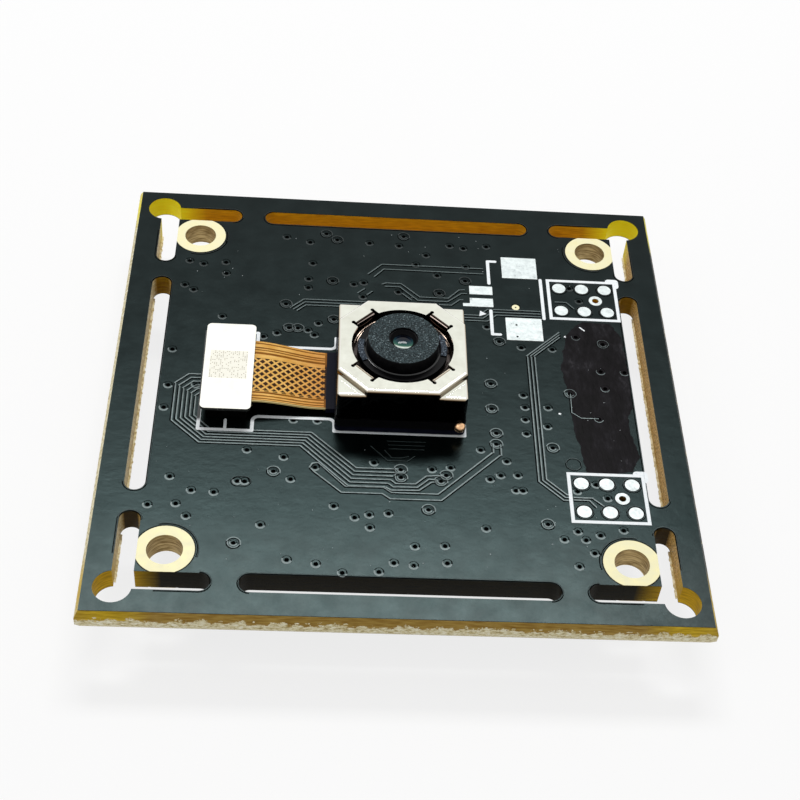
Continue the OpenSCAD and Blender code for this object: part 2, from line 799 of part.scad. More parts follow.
// Front element: a flat rim with a dome that fills the aperture
module lens_element_1() {
    dome_r = 1.6;
    base_r = aperture_r - fit_gap;
    sag = dome_r - sqrt(dome_r * dome_r - base_r * base_r);
    rim_z = element_top(1);
    color([0.3, 0.5, 0.5, 0.6]) {
        translate([0, 0, rim_z - lens_rim_t + fit_gap / 2])
            cylinder(r = element_r(1), h = lens_rim_t - fit_gap / 2);
        intersection() {
            translate([0, 0, rim_z + sag - dome_r]) sphere(dome_r, $fn = 64);
            translate([0, 0, rim_z - eps]) cylinder(r = base_r, h = 1);
        }
    }
}

// A further element: a disc with one hollow face
module hollow_element(i, hollow_r, face) {
    hollow_depth = 0.16;
    top = element_top(i);
    mid = face > 0 ? top - hollow_depth + hollow_r : top - lens_rim_t + hollow_depth - hollow_r;
    difference() {
        translate([0, 0, top - lens_rim_t + fit_gap / 2])
            cylinder(r = element_r(i), h = lens_rim_t - fit_gap);
        translate([0, 0, mid]) sphere(hollow_r, $fn = 64);
    }
}

module lens_element_2() {
    color([0.4, 0.55, 0.55, 0.6]) hollow_element(2, 2.2, -1);
}

module lens_element_3() {
    color([0.4, 0.55, 0.55, 0.6]) hollow_element(3, 3, 1);
}

module lens_element_4() {
    color([0.4, 0.55, 0.55, 0.6]) hollow_element(4, 4, -1);
}

module lens_retainer() {
    ring_h = 0.15;
    color([0.05, 0.05, 0.05]) translate([0, 0, element_top(5) - ring_h]) difference() {
        cylinder(r = element_r(4), h = ring_h);
        translate([0, 0, -1]) cylinder(r = element_r(4) - 0.3, h = ring_h + 2);
    }
}

// ---- the flex cable and its connector ----

flex_from = conn_x - stiff_w / 2 + 0.15;
flex_bend_from = conn_x + stiff_w / 2;
flex_to = -module_w / 2 - tongue_l;
flex_low_z = face_z + flex_end_z - flex_t;
function ease(t) = t * t * (3 - 2 * t);
function flex_under(x) = let (t = (x - flex_bend_from) / (flex_to - flex_bend_from))
    flex_z + (flex_low_z - flex_z) * ease(min(max(t, 0), 1));

module flex_cable() {
    steps = 24;
    bend = [for (i = [0:steps]) flex_bend_from + (flex_to - flex_bend_from) * i / steps];
    section = concat([[flex_from, flex_z]], [for (x = bend) [x, flex_under(x)]],
        [for (i = [steps:-1:0]) [bend[i], flex_under(bend[i]) + flex_t]],
        [[flex_from, flex_z + flex_t]]);
    color([0.85, 0.5, 0.15]) intersection() {
        rotate([90, 0, 0]) linear_extrude(wall_past, center = true) polygon(section);
        linear_extrude(wall_past) translate([0, -flex_off]) polygon([
            [flex_from, -flex_w / 2], [flex_bend_from, -flex_w / 2], [flex_to, -flex_end_w / 2],
            [flex_to, flex_end_w / 2], [flex_bend_from, flex_w / 2], [flex_from, flex_w / 2]]);
    }
}

module connector_stiffener() {
    color([0.93, 0.92, 0.88]) translate([conn_x, 0, flex_z + flex_t])
        linear_extrude(stiff_t) round_rect(stiff_w, stiff_l, stiff_corner_r);
}

plug_w = socket_w - 2 * socket_wall - 2 * mate_gap;
plug_l = socket_l - 2 * socket_wall - 2 * mate_gap;
island_w = 0.7;
island_l = plug_l - 1.0;
island_h = socket_h - 0.1;
floor_t = 0.15;

module connector_socket() {
    color([0.08, 0.08, 0.08]) translate([conn_x, 0, face_z + pad_proud]) {
        difference() {
            linear_extrude(socket_h) square([socket_w, socket_l], center = true);
            translate([0, 0, floor_t]) linear_extrude(socket_h)
                square([socket_w - 2 * socket_wall, socket_l - 2 * socket_wall], center = true);
        }
        linear_extrude(island_h) square([island_w, island_l], center = true);
    }
}

module connector_plug() {
    rim_z = face_z + pad_proud + floor_t + 0.08;
    color([0.1, 0.1, 0.1]) translate([conn_x, 0, rim_z]) difference() {
        linear_extrude(flex_z - rim_z) square([plug_w, plug_l], center = true);
        translate([0, 0, -1]) linear_extrude(1 + island_h - (rim_z - face_z - pad_proud) + 0.05)
            square([island_w + 0.14, island_l + 0.14], center = true);
    }
}

module at_contacts() {
    for (i = [0:contact_count - 1], side = [-1, 1])
        translate([conn_x, (i - (contact_count - 1) / 2) * contact_pitch, 0])
        mirror([side < 0 ? 1 : 0, 0, 0]) children();
}

// Strip down the plug's side with a foot on the flex cable
module plug_contacts() {
    low = face_z + pad_proud + floor_t + 0.15;
    foot_l = 0.35;
    color([0.9, 0.75, 0.4]) at_contacts() translate([plug_w / 2, -contact_w / 2, 0]) {
        translate([0, 0, low]) cube([contact_t, contact_w, flex_z - low]);
        translate([0, 0, flex_z - contact_t]) cube([foot_l, contact_w, contact_t]);
    }
}

// Strip up the socket's side with a foot on the board
module socket_contacts() {
    foot_l = 0.35;
    foot_z = board_t - mask_t;
    color([0.9, 0.75, 0.4]) at_contacts() translate([socket_w / 2, -contact_w / 2, 0]) {
        translate([0, 0, board_t]) cube([contact_t, contact_w, socket_h * 0.7]);
        translate([0, 0, board_t]) cube([foot_l, contact_w, contact_t]);
    }
}

// ---- the underside ----

// Turns parts over and seats them on the underside's pads
module under() {
    translate([0, 0, -pad_proud]) mirror([0, 0, 1]) children();
}

module under_at(place) {
    under() translate(place) children();
}

module at_ring_caps() {
    translate(proc_place) for (turn = [0:90:270], i = [-1.5:1.5]) rotate(turn)
        translate([proc_w / 2 + cap_ring_gap, i * cap_ring_step]) children();
}

module at_bulk_caps() {
    for (place = bulk_places) translate(place) rotate(90) children();
}

module at_resistors() {
    for (i = [0:res_count - 1]) translate(res_place + [0, -i * res_step]) children();
}

module at_pins() {
    for (i = [0:pin_count - 1])
        translate([(i - (pin_count - 1) / 2) * wafer_pitch, 0]) children();
}

lead_l = 0.45;
lead_foot = 0.4;

// Gull-wing lead from a body's side down to the board, flat under its foot
module gull_lead(mid_z, w) {
    translate([0, w / 2, 0]) rotate([90, 0, 0]) linear_extrude(w) polygon([
        [0, mid_z - lead_t / 2], [lead_l - lead_t, mid_z - lead_t / 2], [lead_l, 0],
        [lead_l + lead_foot, 0], [lead_l + lead_foot, lead_t], [lead_l + lead_t, lead_t],
        [lead_l, mid_z + lead_t / 2], [0, mid_z + lead_t / 2]]);
}

module at_flash_leads() {
    translate(flash_place) for (side = [0, 180], i = [-1.5:1.5])
        rotate(side) translate([flash_w / 2, i * flash_l * 0.255]) children();
}

module at_regulator_leads() {
    for (place = reg_places) translate(place) {
        for (i = [-1:1]) translate([reg_w / 2, i * reg_l * 0.33]) children();
        for (i = [-1, 1]) rotate(180) translate([reg_w / 2, i * reg_l * 0.33]) children();
    }
}

// Ends of a chip part: a block at each end
module chip_ends(l, w, h) {
    cap_end = l * 0.23;
    for (side = [-1, 1]) translate([side * (l - cap_end) / 2, 0, h / 2])
        cube([cap_end, w, h], center = true);
}

module chip_middle(l, w, h) {
    cap_end = l * 0.23;
    translate([0, 0, h / 2]) cube([l - 2 * cap_end, w, h], center = true);
}

module flat_pad(x, w, l) {
    translate([x, 0]) square([w, l], center = true);
}

// The processor's pads: a broad middle one and a row along each side
module proc_pads_2d() {
    pad_l = 0.4;
    square(proc_w * 0.7, center = true);
    for (turn = [0:90:270], i = [0:proc_pads - 1]) rotate(turn)
        translate([proc_w / 2 - pad_l / 2, (i - (proc_pads - 1) / 2) * proc_pitch])
        square([pad_l, proc_pitch * 0.5], center = true);
}

// Openings of the solder mask at the processor: one for the middle, one for each row
module proc_windows_2d() {
    row_l = proc_pads * proc_pitch;
    square(proc_w * 0.7, center = true);
    for (turn = [0:90:270]) rotate(turn)
        translate([proc_w / 2 - 0.4, -row_l / 2]) square([0.4, row_l]);
}

// Solder pads of the underside's other parts
module back_pads_2d() {
    at_ring_caps() for (s = [-1, 1]) flat_pad(s * cap_l * 0.45, cap_l * 0.5, cap_w * 1.1);
    at_bulk_caps() for (s = [-1, 1]) flat_pad(s * bulk_l * 0.45, bulk_l * 0.45, bulk_w * 1.1);
    at_resistors() for (s = [-1, 1]) flat_pad(s * cap_l * 0.45, cap_l * 0.5, cap_w * 1.1);
    at_flash_leads() flat_pad(lead_l + lead_foot / 2, lead_foot + 0.3, 0.6);
    at_regulator_leads() flat_pad(lead_l + lead_foot / 2, lead_foot + 0.3, 0.6);
    translate(crystal_place) for (x = [-1, 1], y = [-1, 1]) translate([0, y * crystal_w * 0.32])
        flat_pad(x * crystal_l * 0.36, 1.1, 0.8);
    translate(inductor_place) for (s = [-1, 1]) flat_pad(s * coil_body_w * 0.38, 1.2, 3.4);
    translate(housing_place) {
        at_pins() translate([0, -housing_l / 2 - pin_foot / 2]) flat_pad(0, 0.8, pin_foot + 0.2);
        for (s = [-1, 1]) translate([0, tab_y])
            flat_pad(s * (housing_w / 2 + tab_foot / 2), tab_foot + 0.2, tab_l + 0.2);
    }
}

module solder_pads_back() {
    color([0.8, 0.82, 0.84]) translate([0, 0, -pad_proud]) linear_extrude(pad_t) {
        back_pads_2d();
        translate(proc_place) proc_pads_2d();
    }
}

proc_pad_t = 0.2;

module image_processor() {
    color([0.1, 0.1, 0.11]) under_at(proc_place) difference() {
        translate([0, 0, (proc_h + proc_pad_t) / 2])
            cube([proc_w, proc_w, proc_h - proc_pad_t], center = true);
        translate([-proc_w / 2 + 0.8, proc_w / 2 - 0.8, proc_h - 0.05]) cylinder(d = 0.6, h = 1);
    }
}

module processor_pads() {
    color([0.8, 0.78, 0.7]) under_at(proc_place) linear_extrude(proc_pad_t) proc_pads_2d();
}

// Moulded package: two tapered halves meet at the line of the leads
module moulded_body(w, l, h, stand_off) {
    lean = 0.1;
    mid = (h + stand_off) / 2;
    intersection() {
        rotate([90, 0, 0]) linear_extrude(l, center = true) polygon([
            [-w / 2 + lean, stand_off], [w / 2 - lean, stand_off], [w / 2, mid],
            [w / 2 - lean, h], [-w / 2 + lean, h], [-w / 2, mid]]);
        rotate([90, 0, 90]) linear_extrude(w, center = true) polygon([
            [-l / 2 + lean, stand_off], [l / 2 - lean, stand_off], [l / 2, mid],
            [l / 2 - lean, h], [-l / 2 + lean, h], [-l / 2, mid]]);
    }
}

stand_off = 0.1;

module flash_memory() {
    color([0.1, 0.1, 0.11]) under_at(flash_place) moulded_body(flash_w, flash_l, flash_h, stand_off);
}

module flash_leads() {
    color([0.78, 0.79, 0.8]) under() at_flash_leads() gull_lead((flash_h + stand_off) / 2, 0.4);
}

module voltage_regulators() {
    color([0.1, 0.1, 0.11]) for (place = reg_places) under_at(place)
        moulded_body(reg_w, reg_l, reg_h, stand_off);
}

module regulator_leads() {
    color([0.78, 0.79, 0.8]) under() at_regulator_leads() gull_lead((reg_h + stand_off) / 2, 0.4);
}

module crystal_base() {
    color([0.85, 0.8, 0.7]) under_at(crystal_place)
        linear_extrude(crystal_h * 0.55) round_rect(crystal_l, crystal_w, 0.15);
}

module crystal_lid() {
    color([0.85, 0.8, 0.65]) under_at(crystal_place) translate([0, 0, crystal_h * 0.55])
        linear_extrude(crystal_h * 0.45) round_rect(crystal_l - 0.4, crystal_w - 0.4, 0.3);
}

clip_t = 0.12;
clip_w = 2.4;
clip_l = 0.9;

// Moulded inductor: a block with cut corners that stands on its clips
module power_inductor() {
    color([0.25, 0.26, 0.28]) under_at(inductor_place) translate([0, 0, clip_t])
        linear_extrude(coil_body_h - clip_t) octagon(coil_body_w, coil_body_w * 0.66);
}

module inductor_terminals() {
    color([0.8, 0.81, 0.83]) under_at(inductor_place) for (side = [0, 180]) rotate(side) {
        translate([coil_body_w / 2 - clip_l, -clip_w / 2, 0]) cube([clip_l + clip_t, clip_w, clip_t]);
        translate([coil_body_w / 2, -clip_w / 2, 0]) cube([clip_t, clip_w, coil_body_h * 0.45]);
    }
}

module capacitor_bodies() {
    color([0.62, 0.5, 0.36]) under() {
        at_ring_caps() chip_middle(cap_l, cap_w, cap_w);
        at_bulk_caps() chip_middle(bulk_l, bulk_w, bulk_w);
    }
}

module capacitor_terminals() {
    color([0.8, 0.81, 0.83]) under() {
        at_ring_caps() chip_ends(cap_l, cap_w, cap_w);
        at_bulk_caps() chip_ends(bulk_l, bulk_w, bulk_w);
    }
}

module resistor_bodies() {
    color([0.1, 0.1, 0.12]) under() at_resistors() chip_middle(cap_l, cap_w, res_h);
}

module resistor_terminals() {
    color([0.8, 0.81, 0.83]) under() at_resistors() chip_ends(cap_l, cap_w, res_h);
}

pin_foot = 1.0;
tab_foot = 1.2;
tab_l = 2.0;
tab_y = 0.4;
tab_t = 0.2;

// Side-entry housing, open at its mouth, with a bore through its back wall for each pin
module plug_housing() {
    cavity_h = housing_h - 2 * housing_wall;
    color([0.93, 0.91, 0.84]) under_at(housing_place) difference() {
        translate([0, 0, housing_h / 2]) cube([housing_w, housing_l, housing_h], center = true);
        translate([-housing_w / 2 + housing_wall, -housing_l / 2 + housing_back, housing_wall])
            cube([housing_w - 2 * housing_wall, housing_l, cavity_h]);
        for (side = [-1, 1]) translate([side * housing_w * 0.28 - 0.45, 0.3, housing_h - housing_wall - 1])
            cube([0.9, housing_l, housing_wall + 2]);
        at_pins() translate([-pin_w / 2, -housing_l, pin_mid_z - pin_w / 2])
            cube([pin_w, housing_l, pin_w]);
    }
}

// Square pins: forward into the mouth, down behind the back wall and out to a foot
module plug_pins() {
    reach = housing_l - 1.2;
    color([0.85, 0.83, 0.72]) under_at(housing_place) at_pins()
        translate([-pin_w / 2, -housing_l / 2, 0]) {
            translate([0, -pin_w, pin_mid_z - pin_w / 2]) cube([pin_w, reach + pin_w, pin_w]);
            translate([0, -pin_w, 0]) cube([pin_w, pin_w, pin_mid_z]);
            translate([0, -pin_foot, 0]) cube([pin_w, pin_foot, pin_w / 2]);
        }
}

module plug_solder_tabs() {
    color([0.82, 0.83, 0.85]) under_at(housing_place) for (side = [0, 1]) mirror([side, 0, 0])
        translate([housing_w / 2, tab_y - tab_l / 2, 0]) {
            cube([tab_t, tab_l, housing_h * 0.6]);
            cube([tab_foot, tab_l, tab_t]);
        }
}

// Outlines printed round the processor and the plug connector
module silkscreen_back() {
    frame_w = proc_w + 0.9;
    color([0.92, 0.95, 0.97]) translate([0, 0, -print_t]) linear_extrude(print_t) {
        for (turn = [0:90:270]) translate(proc_place) rotate(turn) {
            stroke([frame_w / 2, frame_w / 2], [frame_w / 2 - 0.6, frame_w / 2], print_w);
            stroke([frame_w / 2, frame_w / 2], [frame_w / 2, frame_w / 2 - 0.6], print_w);
        }
        translate(flash_place) difference() {
            square([flash_w - 1 + print_w, flash_l + 0.4 + print_w], center = true);
            square([flash_w - 1 - print_w, flash_l + 0.4 - print_w], center = true);
        }
    }
}

circuit_board();
solder_mask_front();
solder_mask_back();
mounting_hole_plating();
silkscreen_front();
silkscreen_back();
wafer_pads();
microphone_pads();
test_point();
module_adhesive();
module_substrate();
image_sensor();
actuator_base();
infrared_filter();
lower_spring();
corner_magnets();
upper_spring();
spring_spacer();
shield_can();
terminal_solder();
lens_carrier();
voice_coil();
lens_barrel();
lens_element_1();
lens_element_2();
lens_element_3();
lens_element_4();
lens_retainer();
flex_cable();
connector_stiffener();
connector_plug();
plug_contacts();
connector_socket();
socket_contacts();
solder_pads_back();
image_processor();
processor_pads();
flash_memory();
flash_leads();
crystal_base();
crystal_lid();
voltage_regulators();
regulator_leads();
power_inductor();
inductor_terminals();
capacitor_bodies();
capacitor_terminals();
resistor_bodies();
resistor_terminals();
plug_housing();
plug_pins();
plug_solder_tabs();
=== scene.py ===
import math
import random

import bmesh
import bpy
from mathutils import Matrix, Vector
from mathutils.noise import noise as wander


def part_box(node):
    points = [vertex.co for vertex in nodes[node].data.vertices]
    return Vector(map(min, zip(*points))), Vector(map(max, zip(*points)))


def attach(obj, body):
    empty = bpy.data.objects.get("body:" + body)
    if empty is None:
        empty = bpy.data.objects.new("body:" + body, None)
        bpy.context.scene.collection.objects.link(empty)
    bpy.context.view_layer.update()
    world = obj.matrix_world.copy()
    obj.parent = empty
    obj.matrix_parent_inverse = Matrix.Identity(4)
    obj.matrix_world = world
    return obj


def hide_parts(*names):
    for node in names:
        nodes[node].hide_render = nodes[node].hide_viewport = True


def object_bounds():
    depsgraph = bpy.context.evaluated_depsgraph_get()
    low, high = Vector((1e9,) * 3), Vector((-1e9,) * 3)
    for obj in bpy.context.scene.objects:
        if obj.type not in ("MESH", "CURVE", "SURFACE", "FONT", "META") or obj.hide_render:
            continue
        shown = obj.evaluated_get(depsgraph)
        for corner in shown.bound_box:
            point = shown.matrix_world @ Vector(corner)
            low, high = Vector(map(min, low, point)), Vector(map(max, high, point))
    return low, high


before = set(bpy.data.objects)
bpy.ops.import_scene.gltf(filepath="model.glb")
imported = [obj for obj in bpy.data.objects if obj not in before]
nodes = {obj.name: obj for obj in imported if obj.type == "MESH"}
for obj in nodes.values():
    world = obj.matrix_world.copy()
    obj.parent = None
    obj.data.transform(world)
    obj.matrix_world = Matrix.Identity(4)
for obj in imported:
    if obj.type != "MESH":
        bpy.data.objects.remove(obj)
cad_low, cad_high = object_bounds()
scene = bpy.context.scene
scene.view_settings.view_transform = "Standard"
MM = 0.001


# ---- Camera, table and light -------------------
# The board rests on a plain white table, seen from the front and well above, with one broad
# soft lamp overhead and a weak one at the left.

camera_lens = bpy.data.cameras.new("table_camera")
camera_lens.lens = 70.31
camera_lens.shift_x = -0.047
camera_lens.shift_y = 0.0006
camera_lens.clip_start = 0.005
camera = bpy.data.objects.new("table_camera", camera_lens)
camera.location = (-5.81 * MM, -71.6 * MM, 77.3 * MM)
camera.rotation_euler = [math.radians(turn) for turn in (42.91, -4.9, -1.53)]
scene.collection.objects.link(camera)
scene.camera = camera


def soft_lamp(name, place, aim, width, depth, watts):
    data = bpy.data.lights.new(name, "AREA")
    data.shape = "RECTANGLE"
    data.size = width
    data.size_y = depth
    data.energy = watts
    lamp = bpy.data.objects.new(name, data)
    lamp.location = place
    lamp.rotation_euler = (Vector(aim) - Vector(place)).to_track_quat("-Z", "Y").to_euler()
    lamp.visible_camera = False
    scene.collection.objects.link(lamp)


soft_lamp("overhead_lamp", (0.0, 0.188, 0.3), (0, 0, 0), 0.2, 0.06, 0.75)
soft_lamp("left_lamp", (-0.3, -0.1, 0.3), (0, 0, 0), 0.15, 0.15, 0.12)


def add_node(tree, kind, values=None, **settings):
    """A shader node with its settings, and its sockets set to plain values or joined to others."""
    node = tree.nodes.new("ShaderNode" + kind)
    for name, value in settings.items():
        setattr(node, name, value)
    for name, value in (values or {}).items():
        if isinstance(value, bpy.types.NodeSocket):
            tree.links.new(value, node.inputs[name])
        else:
            node.inputs[name].default_value = value
    return node


def arithmetic(tree, how, *values):
    """The number that one, two or three others come to, each a socket or a plain value."""
    return add_node(tree, "Math", dict(enumerate(values)), operation=how).outputs[0]


def background_share(tree):
    """1 where the plain white background is seen, straight, mirrored or through glass."""
    rays = add_node(tree, "LightPath").outputs
    seen = arithmetic(tree, "MAXIMUM", rays["Is Camera Ray"], rays["Is Glossy Ray"])
    return arithmetic(tree, "MAXIMUM", seen, rays["Is Transmission Ray"])


studio = bpy.data.worlds.new("studio")
scene.world = studio
studio.use_nodes = True
tree = studio.node_tree
ambient = 0.4
strength = add_node(tree, "MapRange",
    {"Value": background_share(tree), "To Min": ambient, "To Max": 1.0})
backdrop = tree.nodes["Background"]
backdrop.inputs["Color"].default_value = (1, 1, 1, 1)
tree.links.new(strength.outputs[0], backdrop.inputs["Strength"])


def new_finish(name, colour, roughness, metallic=0.0, **constants):
    finish = bpy.data.materials.new(name)
    finish.use_nodes = True
    shader = finish.node_tree.nodes["Principled BSDF"]
    shader.inputs["Base Color"].default_value = (*colour, 1)
    shader.inputs["Roughness"].default_value = roughness
    shader.inputs["Metallic"].default_value = metallic
    for socket, value in constants.items():
        shader.inputs[socket.replace("_", " ")].default_value = value
    return finish


table_finish = new_finish("white_table", (0.9, 0.9, 0.9), 0.7)
tree = table_finish.node_tree
paper_glow = add_node(tree, "Emission", {"Color": (1, 1, 1, 1), "Strength": 1.0})
glow_share = arithmetic(tree, "MULTIPLY", background_share(tree), 0.79)
paper = add_node(tree, "MixShader", {0: glow_share,
    1: tree.nodes["Principled BSDF"].outputs[0], 2: paper_glow.outputs[0]})
tree.links.new(paper.outputs[0], tree.nodes["Material Output"].inputs["Surface"])

table_half = 0.6
table_shape = bmesh.new()
bmesh.ops.create_grid(table_shape, x_segments=1, y_segments=1, size=table_half)
bmesh.ops.translate(table_shape, verts=table_shape.verts, vec=(0, 0, cad_low.z))
table_mesh = bpy.data.meshes.new("table_top")
table_shape.to_mesh(table_mesh)
table_mesh.materials.append(table_finish)
table_top = bpy.data.objects.new("table_top", table_mesh)
scene.collection.objects.link(table_top)


# ---- Circuit board -----------------------------
# Glass-fibre laminate 1.6 mm thick, routed through for the slots and snapped from its panel
# along scored grooves, so the slot walls show amber layers and the rim is pale and torn.

def object_place(tree):
    return add_node(tree, "TexCoord").outputs["Object"]


def axes_of(tree, what="Object"):
    """The X, Y and Z of each point's place in the object, or of its normal."""
    return add_node(tree, "SeparateXYZ", {0: add_node(tree, "TexCoord").outputs[what]}).outputs


def mirrored_axes(tree):
    """How far each point lies from the middle along X, Y and Z, to either side."""
    place = add_node(tree, "VectorMath", {0: object_place(tree)}, operation="ABSOLUTE")
    return add_node(tree, "SeparateXYZ", {0: place.outputs[0]}).outputs


def flat_distance(tree, axes, x=0, y=0):
    """How far points lie, in plan, from the place at x and y."""
    flat = add_node(tree, "CombineXYZ", {0: axes["X"], 1: axes["Y"]}).outputs[0]
    way = add_node(tree, "VectorMath", {0: flat, 1: (x, y, 0)}, operation="DISTANCE")
    return way.outputs["Value"]


def grain(tree, size, detail=3.0, stretch=(1, 1, 1), rough=0.5):
    """Noise from 0 to 1 with features of about size millimetres."""
    spot = add_node(tree, "Mapping", {"Vector": object_place(tree), "Scale": stretch})
    return add_node(tree, "TexNoise", {"Vector": spot.outputs[0], "Scale": 1 / (size * MM),
        "Detail": detail, "Roughness": rough}).outputs["Fac"]


def shades(tree, value, stops):
    """Colours along a value from 0 to 1: stops are (place, colour)."""
    ramp = add_node(tree, "ValToRGB", {"Fac": value})
    line = ramp.color_ramp
    while len(line.elements) < len(stops):
        line.elements.new(0.5)
    for element, (place, colour) in zip(line.elements, stops):
        element.position = place
        element.color = (*colour, 1)
    return ramp.outputs["Color"]


def spread(tree, value, low, high, start=0.3, end=0.7):
    """The value from start to end, spread from low to high."""
    return add_node(tree, "MapRange", {"Value": value, "From Min": start, "From Max": end,
        "To Min": low, "To Max": high}).outputs["Result"]


def rising(tree, value, start, end):
    """0 up to the start and 1 from the end."""
    return spread(tree, value, 0, 1, start, end)


def falling(tree, value, start, end):
    """1 up to the start and 0 from the end."""
    return spread(tree, value, 1, 0, start, end)


def where_all(tree, *shares):
    """1 only where every share is 1."""
    result = shares[0]
    for share in shares[1:]:
        result = arithmetic(tree, "MULTIPLY", result, share)
    return result


def mix_colours(tree, share, first, second):
    node = add_node(tree, "Mix", data_type="RGBA")
    for socket, value in ((0, share), (6, first), (7, second)):
        if isinstance(value, bpy.types.NodeSocket):
            tree.links.new(value, node.inputs[socket])
        else:
            node.inputs[socket].default_value = (*value, 1) if socket else value
    return node.outputs[2]


def shader_takes(finish, **sockets):
    tree = finish.node_tree
    for name, value in sockets.items():
        tree.links.new(value, tree.nodes["Principled BSDF"].inputs[name.replace("_", " ")])


def relief(finish, height, depth):
    """Fine relief: height runs from 0 to 1 over depth millimetres."""
    bump = add_node(finish.node_tree, "Bump",
        {"Height": height, "Distance": depth * MM, "Strength": 1.0})
    shader_takes(finish, Normal=bump.outputs[0])


def dress(finish, *pieces):
    """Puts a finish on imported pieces, whose shapes stay as they are."""
    for piece in pieces:
        nodes[piece].material_slots[0].material = finish


board_half = cad_high.x / MM
slot_end, lit_middle, groove_z = 15.5 * MM, 17.2 * MM, 1.02 * MM
laminate_finish = new_finish("glass_fibre_laminate", (0.3, 0.17, 0.03), 0.5,
    Specular_IOR_Level=0.08)
tree = laminate_finish.node_tree
axes, sides, facing = axes_of(tree), mirrored_axes(tree), axes_of(tree, "Normal")

layers = grain(tree, 0.5, 4, (0.5, 0.5, 5))
# Painted shade: the near-black tone is the shade on slot walls out of the overhead lamp's reach.
shaded_wall = shades(tree, layers, [(0.3, (0.002, 0.002, 0.0005)), (0.6, (0.012, 0.009, 0.001))])
amber = shades(tree, layers, [(0.3, (0.5, 0.24, 0.006)), (0.7, (0.78, 0.44, 0.014))])
yellow = shades(tree, layers, [(0.3, (0.98, 0.78, 0.01)), (0.7, (1.0, 0.92, 0.03))])
shaded_yellow = shades(tree, layers, [(0.3, (0.45, 0.28, 0.008)), (0.7, (0.85, 0.58, 0.03))])
cut = shades(tree, layers, [(0.3, (0.26, 0.14, 0.02)), (0.7, (0.48, 0.32, 0.08))])
golden = shades(tree, grain(tree, 0.16, 5, (1, 1, 1.5), 0.7),
    [(0.34, (0.08, 0.04, 0.006)), (0.46, (0.62, 0.38, 0.09)), (0.62, (0.95, 0.72, 0.32))])
pale = shades(tree, grain(tree, 0.3, 6, (1, 1, 2), 0.7),
    [(0.32, (0.26, 0.17, 0.05)), (0.46, (0.72, 0.62, 0.34)), (0.62, (0.98, 0.94, 0.74))])

# Painted light: slot walls are painted in shade near the front and lit amber towards the far side.
far_side_lit = rising(tree, axes["Y"], -14 * MM, 13 * MM)
sideways = arithmetic(tree, "ABSOLUTE", facing["X"])
outer_slots = rising(tree, sides["X"], slot_end, slot_end + 0.2 * MM)
side_wall = where_all(tree, rising(tree, sideways, 0.6, 0.9), outer_slots)
left_wall = where_all(tree, rising(tree, facing["X"], 0.6, 0.9),
    falling(tree, axes["X"], -15 * MM, -14 * MM))
# Painted shade: in the outer slots the far walls are painted 55 % in shade.
far_wall = mix_colours(tree, arithmetic(tree, "MULTIPLY", outer_slots, 0.55), amber, shaded_wall)
slot_walls = mix_colours(tree, side_wall, mix_colours(tree, far_side_lit, shaded_wall, far_wall),
    mix_colours(tree, left_wall, golden, pale))

reach = arithmetic(tree, "MAXIMUM", sides["X"], sides["Y"])
# Painted shade: the scored groove's slopes that face right are painted near black.
right_groove_shade = where_all(tree, rising(tree, facing["X"], 0.3, 0.5),
    rising(tree, facing["Z"], 0.1, 0.2))
rim = mix_colours(tree, right_groove_shade,
    mix_colours(tree, rising(tree, sideways, 0.3, 0.5), cut, pale), (0.02, 0.02, 0.014))
scored = rising(tree, reach, (board_half - 0.6) * MM, (board_half - 0.4) * MM)
# Painted shade: the corner holes' walls are a darker yellow near the front than at the far side.
walls = mix_colours(tree,
    falling(tree, flat_distance(tree, sides, lit_middle, lit_middle), 1.5 * MM, 3.2 * MM),
    mix_colours(tree, scored, slot_walls, rim), mix_colours(tree, far_side_lit, shaded_yellow, yellow))

uneven = spread(tree, grain(tree, 0.7, 6, rough=0.7), -0.35 * MM, 0.35 * MM)
torn = where_all(tree,
    falling(tree, arithmetic(tree, "ADD", axes["Z"], uneven), groove_z, groove_z + 0.04 * MM),
    rising(tree, reach, (board_half - 0.25) * MM, (board_half - 0.2) * MM))
shader_takes(laminate_finish, Base_Color=mix_colours(tree, rising(tree, facing["Z"], 0.9, 0.95),
    mix_colours(tree, torn, walls, pale), (0.004, 0.005, 0.005)))
relief(laminate_finish, grain(tree, 0.12, 5, (1, 1, 2)), 0.02)
dress(laminate_finish, "circuit_board")


def finish_piece(name, shape, finish, body="board", smooth=35, stands_for=()):
    """Turns a bmesh into a piece that rides on a body and takes its place in the object."""
    mesh = bpy.data.meshes.new(name)
    shape.to_mesh(mesh)
    shape.free()
    mesh.materials.append(finish)
    if smooth:
        mesh.shade_smooth()
        mesh.set_sharp_from_angle(angle=math.radians(smooth))
    piece = bpy.data.objects.new(name, mesh)
    scene.collection.objects.link(piece)
    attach(piece, body)
    if stands_for:
        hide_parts(*stands_for)


def thickened(shape, depth):
    """Gives a sheet its thickness, downwards, in millimetres."""
    made = bmesh.ops.extrude_face_region(shape, geom=shape.faces[:])["geom"]
    bmesh.ops.translate(shape, vec=(0, 0, -depth * MM),
        verts=[part for part in made if isinstance(part, bmesh.types.BMVert)])
    bmesh.ops.recalc_face_normals(shape, faces=shape.faces)


fibre_finish = new_finish("torn_fibre", (0.8, 0.76, 0.6), 0.7)
tree = fibre_finish.node_tree
shader_takes(fibre_finish, Base_Color=shades(tree, grain(tree, 0.25, 4),
    [(0.35, (0.5, 0.38, 0.14)), (0.55, (0.86, 0.78, 0.5)), (0.7, (0.98, 0.94, 0.76))]))

